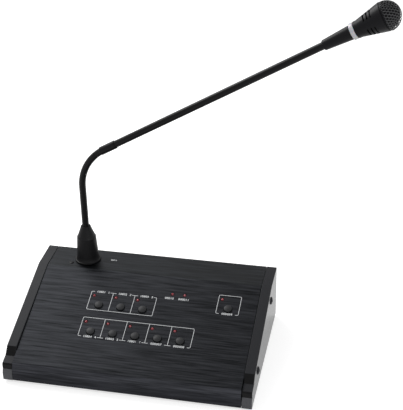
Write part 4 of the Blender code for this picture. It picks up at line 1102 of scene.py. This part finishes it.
# %% Stem under the boot
stem_foot = box_in("neck_stem", Matrix.Translation(NECK_FOOT))[0].z
STEM_FLANGE, STEM_FLANGE_HEIGHT = 0.0072, 0.003
THREAD_RADIUS, THREAD_TOP, THREAD_PITCH, THREAD_DEPTH = 0.005, 0.014, 0.001, 0.0003
NECK_BORE = 0.0016
STEM_SIDES = 48


def thread_line(low, high):
    """Points of a threaded outline, from top to bottom."""
    count = int((high - low) / THREAD_PITCH)
    points = []
    for i in range(count):
        crest = high - (i + 0.5) * THREAD_PITCH
        points += [(THREAD_RADIUS, crest), (THREAD_RADIUS - THREAD_DEPTH, crest - THREAD_PITCH / 2)]
    return points


shoulder = SEAT_GAP + STEM_FLANGE_HEIGHT
stem_line = [(NECK_RADIUS - RIB_RELIEF, BOOT_HEIGHT - SLEEVE_ROOT), (NECK_RADIUS - RIB_RELIEF, THREAD_TOP)]
stem_line += thread_line(shoulder, THREAD_TOP)
stem_line += [(STEM_FLANGE, shoulder), (STEM_FLANGE, SEAT_GAP)]
stem_line += thread_line(stem_foot, SEAT_GAP)
stem_line += [(NECK_BORE, stem_foot), (NECK_BORE, BOOT_HEIGHT - SLEEVE_ROOT)]
add_piece("threaded_stem", turned("threaded_stem", stem_line + stem_line[:1], STEM_SIDES), ZINC_FINISH,
          "console", Matrix.Translation(NECK_FOOT), ["neck_stem"])

# %% Ferrule and stiff tube
FERRULE_RADIUS, FERRULE_EDGE = 0.0038, 0.0003
TUBE_GAP, TUBE_EDGE = 0.0001, 0.0002
TUBE_IN_HEAD = 0.012
ferrule_low, ferrule_high = box_in("neck_ferrule", HEAD)
ferrule_line = [(FERRULE_RADIUS, ferrule_high.z), (FERRULE_RADIUS, ferrule_low.z),
                (NECK_RADIUS + TUBE_GAP, ferrule_low.z), (NECK_RADIUS + TUBE_GAP, ferrule_high.z)]
add_piece("neck_ferrule_sleeve", hoop("neck_ferrule_sleeve", ferrule_line, FERRULE_EDGE), NECK_FINISH,
          "head", HEAD, ["neck_ferrule"])

tube_start = ferrule_low.z + SLEEVE_ROOT
tube_line = [(NECK_RADIUS, TUBE_IN_HEAD), (NECK_RADIUS, tube_start), (NECK_BORE, tube_start),
             (NECK_BORE, TUBE_IN_HEAD)]
add_piece("stiff_tube", hoop("stiff_tube", tube_line, TUBE_EDGE), NECK_FINISH, "head", HEAD,
          ["upper_tube"])


# %% [markdown]
# ## The head
# The head is a tail cone, a light ring and a flared shell, all on the tube's axis. The shell has groups of
# narrow slots that let sound in from behind. Dark lines in the finish would do at a distance, but cut slots
# show the foam behind them. Each slot is milled, so its ends are round.

# %% Tail and ring
TAIL_LENGTH, TAIL_START, TAIL_END, TAIL_EDGE = 0.0252, 0.0040, 0.0061, 0.0008
SPIGOT, SPIGOT_BORE = 0.0048, 0.0020
RING_RADIUS, RING_EDGE = 0.0071, 0.0007
SHELL_EDGE = 0.0004
ring_low, ring_high = box_in("head_ring", HEAD)
tail_high = box_in("head_tail", HEAD)[1].z
tail_line = [(SPIGOT, tail_high), (SPIGOT, TAIL_LENGTH), (TAIL_END, TAIL_LENGTH),
             (TAIL_START + TAIL_EDGE / 2, TAIL_EDGE), (TAIL_START - TAIL_EDGE / 2, 0),
             (NECK_RADIUS + TUBE_GAP, 0), (NECK_RADIUS + TUBE_GAP, TUBE_IN_HEAD + SEAT_GAP),
             (SPIGOT_BORE, TUBE_IN_HEAD + SEAT_GAP), (SPIGOT_BORE, tail_high)]
ring_line = [(RING_RADIUS, ring_high.z), (RING_RADIUS, ring_low.z), (SPIGOT + SEAT_GAP, ring_low.z),
             (SPIGOT + SEAT_GAP, ring_high.z)]
add_piece("tail_cone", hoop("tail_cone", tail_line, SHELL_EDGE), HEAD_FINISH, "head", HEAD,
          ["head_tail"])
add_piece("light_ring", hoop("light_ring", ring_line, RING_EDGE), RING_FINISH, "head", HEAD,
          ["head_ring"])

# %% The flared shell's size
BODY_START, BODY_END = [corner.z for corner in box_in("head_body", HEAD)]
BODY_LENGTH = BODY_END - BODY_START
BODY_BACK, BODY_FRONT, BODY_STRAIGHT = 0.0072, 0.0123, 0.0025
BODY_RIM, BODY_WALL, BODY_FLOOR = 0.0009, 0.0014, 0.0018
LEDGE_DEPTH, LEDGE_HEIGHT, CAPSULE_MOUTH = 0.0075, 0.0030, 0.0053
SHELL_SIDES = 96


def shell_radius(length):
    """Outer radius at a length from the shell's back."""
    share = max(length - BODY_STRAIGHT, 0) / (BODY_LENGTH - BODY_STRAIGHT)
    return BODY_BACK + (BODY_FRONT - BODY_BACK) * share


print("shell's length in mm:", round(BODY_LENGTH * 1000, 2))

# %% Slots for the flared shell
SLOT_ROWS, SLOT_GROUPS, FIRST_SLOT = 3, 3, 0.0093
SLOT_WIDTH, SLOT_PITCH = 0.0013, 0.0032
SLOT_ARC, SLOT_PHASE = math.radians(76), math.radians(73)
SLOT_STEPS, SLOT_TIP = 28, 0.05
SLOT_SINK, SLOT_REACH = 0.0003, BODY_FRONT * 1.1


def slot_rows(centre, first):
    """Sections of one thin wedge with round ends, from inside the shell outwards."""
    half = SLOT_WIDTH / 2
    inner = shell_radius(centre - BODY_START) - BODY_WALL - SLOT_SINK
    rows = []
    for i in range(SLOT_STEPS + 1):
        share = (1 - math.cos(math.pi * i / SLOT_STEPS)) / 2
        turn = first + SLOT_ARC * share
        inward = min(share, 1 - share) * SLOT_ARC * BODY_FRONT / half
        rise = half * max(math.sqrt(1 - max(1 - inward, 0) ** 2), SLOT_TIP)
        rows.append([(radius * math.cos(turn), radius * math.sin(turn), centre + side)
                     for radius, side in ((inner, -rise), (SLOT_REACH, -rise), (SLOT_REACH, rise),
                                          (inner, rise))])
    return rows


def slot_cutter():
    """All the slots as one cutter."""
    work = bmesh.new()
    for row in range(SLOT_ROWS):
        centre = BODY_START + FIRST_SLOT + row * SLOT_PITCH + SLOT_WIDTH / 2
        for group in range(SLOT_GROUPS):
            loft(work, slot_rows(centre, SLOT_PHASE + group * math.tau / SLOT_GROUPS - SLOT_ARC / 2))
    bmesh.ops.recalc_face_normals(work, faces=work.faces)
    return kept(work, "slots")


print("slots:", SLOT_ROWS * SLOT_GROUPS)

# %% Flared shell
def shell_mesh():
    """The shell from its outside line and its inside line, with the slots cut out."""
    length = BODY_LENGTH
    ledge_top = length - LEDGE_DEPTH
    ledge_foot = ledge_top - LEDGE_HEIGHT
    outside = [(BODY_FRONT, length), (BODY_FRONT, length - BODY_RIM), (BODY_BACK, BODY_STRAIGHT),
               (BODY_BACK, 0), (SPIGOT + SEAT_GAP, 0), (SPIGOT + SEAT_GAP, BODY_FLOOR)]
    inside = [(shell_radius(BODY_FLOOR) - BODY_WALL, BODY_FLOOR),
              (shell_radius(ledge_foot) - BODY_WALL, ledge_foot), (CAPSULE_MOUTH, ledge_foot),
              (CAPSULE_MOUTH, ledge_top), (shell_radius(ledge_top) - BODY_WALL, ledge_top),
              (BODY_FRONT - BODY_WALL, length)]
    line = [(radius, BODY_START + height) for radius, height in outside + inside]
    return carved(hoop("flared_shell", line, SHELL_EDGE, SHELL_SIDES), slot_cutter())


add_piece("flared_shell", shell_mesh(), HEAD_FINISH, "head", HEAD, ["head_body"])


# %% [markdown]
# ## The mesh dome
# The dome is punched steel with round holes about 2.4 mm apart. Rings of holes would crowd at the top. An
# even pattern on a ball comes from a twenty-faced ball cut finer: every one of its points becomes a
# six-sided cell. Each cell is inset, its middle is deleted, and a thickness with one smoothing step leaves
# round holes in a real sheet.

# %% Punched dome
DOME_RADIUS, DOME_SHEET, HOLE_EDGE = 0.0121, 0.0008, 0.00042
DOME_CUTS = 5
GRILLE_FOOT, GRILLE_TOP = [corner.z for corner in box_in("head_grille", HEAD)]
DOME_CENTRE = GRILLE_TOP - DOME_RADIUS
# Cells are made down to this height, so that the cut at height 0 goes through whole ones.
LOWEST_CELL = -DOME_RADIUS / 4


def fine_ball():
    """A ball of even triangles."""
    ball = bmesh.new()
    bmesh.ops.create_icosphere(ball, subdivisions=1, radius=DOME_RADIUS)
    bmesh.ops.subdivide_edges(ball, edges=ball.edges, cuts=DOME_CUTS, use_grid_fill=True)
    for point in ball.verts:
        point.co = point.co.normalized() * DOME_RADIUS
    ball.normal_update()
    return ball


def faces_around(point):
    """The faces that meet at a point, in their order round it."""
    side = point.normal.orthogonal()
    ahead = point.normal.cross(side)
    arms = {face: face.calc_center_median() - point.co for face in point.link_faces}
    return sorted(arms, key=lambda face: math.atan2(arms[face].dot(ahead), arms[face].dot(side)))


def punched_mesh():
    """Half a ball of six-sided cells, each with its middle open."""
    ball = fine_ball()
    work = bmesh.new()
    spots = {face: work.verts.new(face.calc_center_median().normalized() * DOME_RADIUS)
             for face in ball.faces}
    for point in ball.verts:
        if point.co.z >= LOWEST_CELL:
            work.faces.new([spots[face] for face in faces_around(point)])
    ball.free()
    cells = work.faces[:]
    bmesh.ops.inset_individual(work, faces=cells, thickness=HOLE_EDGE)
    bmesh.ops.delete(work, geom=cells, context="FACES")
    bmesh.ops.bisect_plane(work, geom=work.verts[:] + work.edges[:] + work.faces[:],
                           plane_co=(0, 0, 0), plane_no=(0, 0, 1), clear_inner=True)
    loose = [vert for vert in work.verts if not vert.link_faces]
    bmesh.ops.delete(work, geom=loose, context="VERTS")
    return kept(work, "punched_dome")


dome = add_piece("punched_dome", punched_mesh(), MESH_FINISH, "head",
                 HEAD @ Matrix.Translation((0, 0, DOME_CENTRE)), ["head_grille"])
sheet = dome.modifiers.new("sheet", "SOLIDIFY")
sheet.thickness = DOME_SHEET
sheet.offset = -1
soft = dome.modifiers.new("round_holes", "SUBSURF")
soft.levels = soft.render_levels = 1

# %% Rim and skirt of the dome
RIM_RISE, RIM_SHEET, RIM_EDGE = 0.0005, 0.0008, 0.0002
SKIRT_RADIUS = shell_radius(GRILLE_FOOT - BODY_START) - BODY_WALL - SEAT_GAP
rim_foot = BODY_END + SEAT_GAP
rim_line = [(DOME_RADIUS, rim_foot), (DOME_RADIUS, DOME_CENTRE + RIM_RISE),
            (DOME_RADIUS - RIM_SHEET, DOME_CENTRE + RIM_RISE), (SKIRT_RADIUS - RIM_SHEET, DOME_CENTRE),
            (SKIRT_RADIUS - RIM_SHEET, GRILLE_FOOT), (SKIRT_RADIUS, GRILLE_FOOT), (SKIRT_RADIUS, rim_foot)]
add_piece("dome_rim", hoop("dome_rim", rim_line, RIM_EDGE, SHELL_SIDES), HEAD_FINISH, "head", HEAD)


# %% [markdown]
# ## Inside the dome
# A block of open foam fills the dome and takes the force out of breath. A smooth block would show round
# highlights through the holes. So it is turned, and each of its points is then moved a little along its own
# direction by a noise. A ring of the same foam lies behind the slots.

# %% Wind foam
FOAM_RIPPLE, FOAM_WAVE, FOAM_STEP, FOAM_SIDES = 0.00015, 0.0012, 0.0005, 128
foam_foot = box_in("foam_insert", HEAD)[0].z


def foam_mesh():
    """A domed block with a waist that fits the skirt."""
    crown = DOME_RADIUS - DOME_SHEET - SEAT_GAP
    waist = SKIRT_RADIUS - RIM_SHEET - SEAT_GAP
    turns = quarter(round(crown * math.pi / 2 / FOAM_STEP))
    line = [(crown * math.sin(turn), DOME_CENTRE + crown * math.cos(turn)) for turn in turns]
    line[-1] = (crown, DOME_CENTRE + SEAT_GAP)
    line += [(waist, DOME_CENTRE + SEAT_GAP), (waist, foam_foot), (0, foam_foot)]
    mesh = turned("foam_block", line, FOAM_SIDES)
    for vertex in mesh.vertices:
        push = noise.noise(vertex.co / FOAM_WAVE) * FOAM_RIPPLE - FOAM_RIPPLE
        vertex.co += vertex.normal * push
    return mesh


foam = add_piece("foam_block", foam_mesh(), FOAM_FINISH, "head", HEAD, ["foam_insert"])

# %% Foam ring behind the slots
LINING, LINING_GAP = 0.0010, 0.0002
lining_ends = (BODY_FLOOR + LINING_GAP, BODY_LENGTH - LEDGE_DEPTH - LEDGE_HEIGHT - LINING_GAP)


def lining_side(depth):
    """A line at a depth under the shell's inner wall, from end to end."""
    return [(shell_radius(height) - BODY_WALL - depth, BODY_START + height) for height in lining_ends]


lining_line = lining_side(LINING_GAP) + lining_side(LINING_GAP + LINING)[::-1]
lining = add_piece("foam_lining", hoop("foam_lining", lining_line, LINING_GAP), FOAM_FINISH, "head", HEAD)

# %% Capsule
CAPSULE_RADIUS, CAPSULE_LIP, CAPSULE_EDGE = 0.0050, 0.0008, 0.0002
ALUMINIUM_FINISH = plated("turned_aluminium", ("#a9abae", "#c4c6c9"), (0.28, 0.40), 0.0010)
capsule_foot, capsule_top = [corner.z for corner in box_in("capsule", HEAD)]
capsule_side = [(CAPSULE_RADIUS + CAPSULE_LIP, capsule_top),
                (CAPSULE_RADIUS + CAPSULE_LIP, capsule_top - CAPSULE_LIP),
                (CAPSULE_RADIUS, capsule_top - CAPSULE_LIP), (CAPSULE_RADIUS, capsule_foot)]
capsule_line = [(0, capsule_top)] + rounded(capsule_side, CAPSULE_EDGE) + [(0, capsule_foot)]
add_piece("capsule_can", turned("capsule_can", capsule_line), ALUMINIUM_FINISH, "head", HEAD,
          ["capsule"])


# %% [markdown]
# ## Floor, background and camera
# The object stands on a plain pale floor. A ray from the camera sees the world as plain white, and so does a
# mirrored one, so black pieces reflect a bright room. The light that falls on the object is softer. A
# photograph of a room could light it as well, but a plain world and two soft lamps need no file. The camera
# looks from the front, a little to the right of the middle and 30 degrees up, through a long lens.

# %% World and floor
AMBIENT, FLOOR_LIFT = 0.40, 0.62
FLOOR_SIDE, LAMINATE_PATCH = 6.0, 0.05


def white_for_eye(tree, plain):
    """Strength 1 for camera, mirrored and see-through rays, and a plain level for the rest."""
    rays = add_node(tree, "ShaderNodeLightPath")
    seen = add_node(tree, "ShaderNodeMath", {0: rays.outputs["Is Camera Ray"],
                                             1: rays.outputs["Is Glossy Ray"]}, operation="MAXIMUM")
    seen = add_node(tree, "ShaderNodeMath", {0: seen.outputs[0], 1: rays.outputs["Is Transmission Ray"]},
                    operation="MAXIMUM")
    level = add_node(tree, "ShaderNodeMapRange", {"Value": seen.outputs[0], "To Min": plain, "To Max": 1.0})
    return level.outputs["Result"]


world = bpy.data.worlds.new("studio")
bpy.context.scene.world = world
world.use_nodes = True
background = world.node_tree.nodes["Background"]
background.inputs["Color"].default_value = colour("#ffffff")
world.node_tree.links.new(white_for_eye(world.node_tree, AMBIENT), background.inputs["Strength"])


def pale_board():
    """White laminate that keeps the object's shadow."""
    material, tree, shader, place = start_finish("white_laminate", Emission_Color=colour("#ffffff"))
    drive(tree, shader, cloud(tree, place, (LAMINATE_PATCH,) * 3), ("#e6e6e6", "#ececec"), (0.75, 0.85), 0.0)
    glow = white_for_eye(tree, 0.0)
    part = add_node(tree, "ShaderNodeMath", {0: glow, 1: FLOOR_LIFT}, operation="MULTIPLY")
    tree.links.new(part.outputs[0], shader.inputs["Emission Strength"])
    return material


flat = bmesh.new()
bmesh.ops.create_grid(flat, x_segments=1, y_segments=1, size=FLOOR_SIDE / 2)
floor = add_object("floor", settle(flat, "floor"))
floor.location.z = CAD_BOX[0].z
floor.data.materials.append(pale_board())
print("floor's height in mm:", round(floor.location.z * 1000, 2))

# %% Lights
TARGET = (CAD_BOX[0] + CAD_BOX[1]) / 2


def softbox(name, spot, side, power):
    """A square area light that faces the object."""
    light = bpy.data.lights.new(name, "AREA")
    light.size = side
    light.energy = power
    item = add_object(name, light)
    item.location = spot
    item.rotation_euler = (TARGET - Vector(spot)).to_track_quat("-Z", "Y").to_euler()
    print(name, "in watts:", power)


softbox("key_light", spot=(-0.52, 0.42, 0.80), side=0.60, power=7.0)
softbox("fill_light", spot=(0.60, -0.60, 0.70), side=0.60, power=2.5)

# %% Camera
CAMERA_PLACE = Vector((0.21795, -0.75993, 0.60103))
LOOK = Vector((-0.18163, 0.84679, -0.49996))
ROLL = math.radians(-1.038)
LENS = 94.81

camera = add_object("camera", bpy.data.cameras.new("camera"))
camera.location = CAMERA_PLACE
camera.rotation_mode = "QUATERNION"
camera.rotation_quaternion = LOOK.to_track_quat("-Z", "Y") @ Matrix.Rotation(ROLL, 3, "Z").to_quaternion()
camera.data.lens = LENS
bpy.context.scene.camera = camera
bpy.context.scene.view_settings.view_transform = "Standard"
print("camera's distance in m:", round((CAMERA_PLACE - TARGET).length, 3))
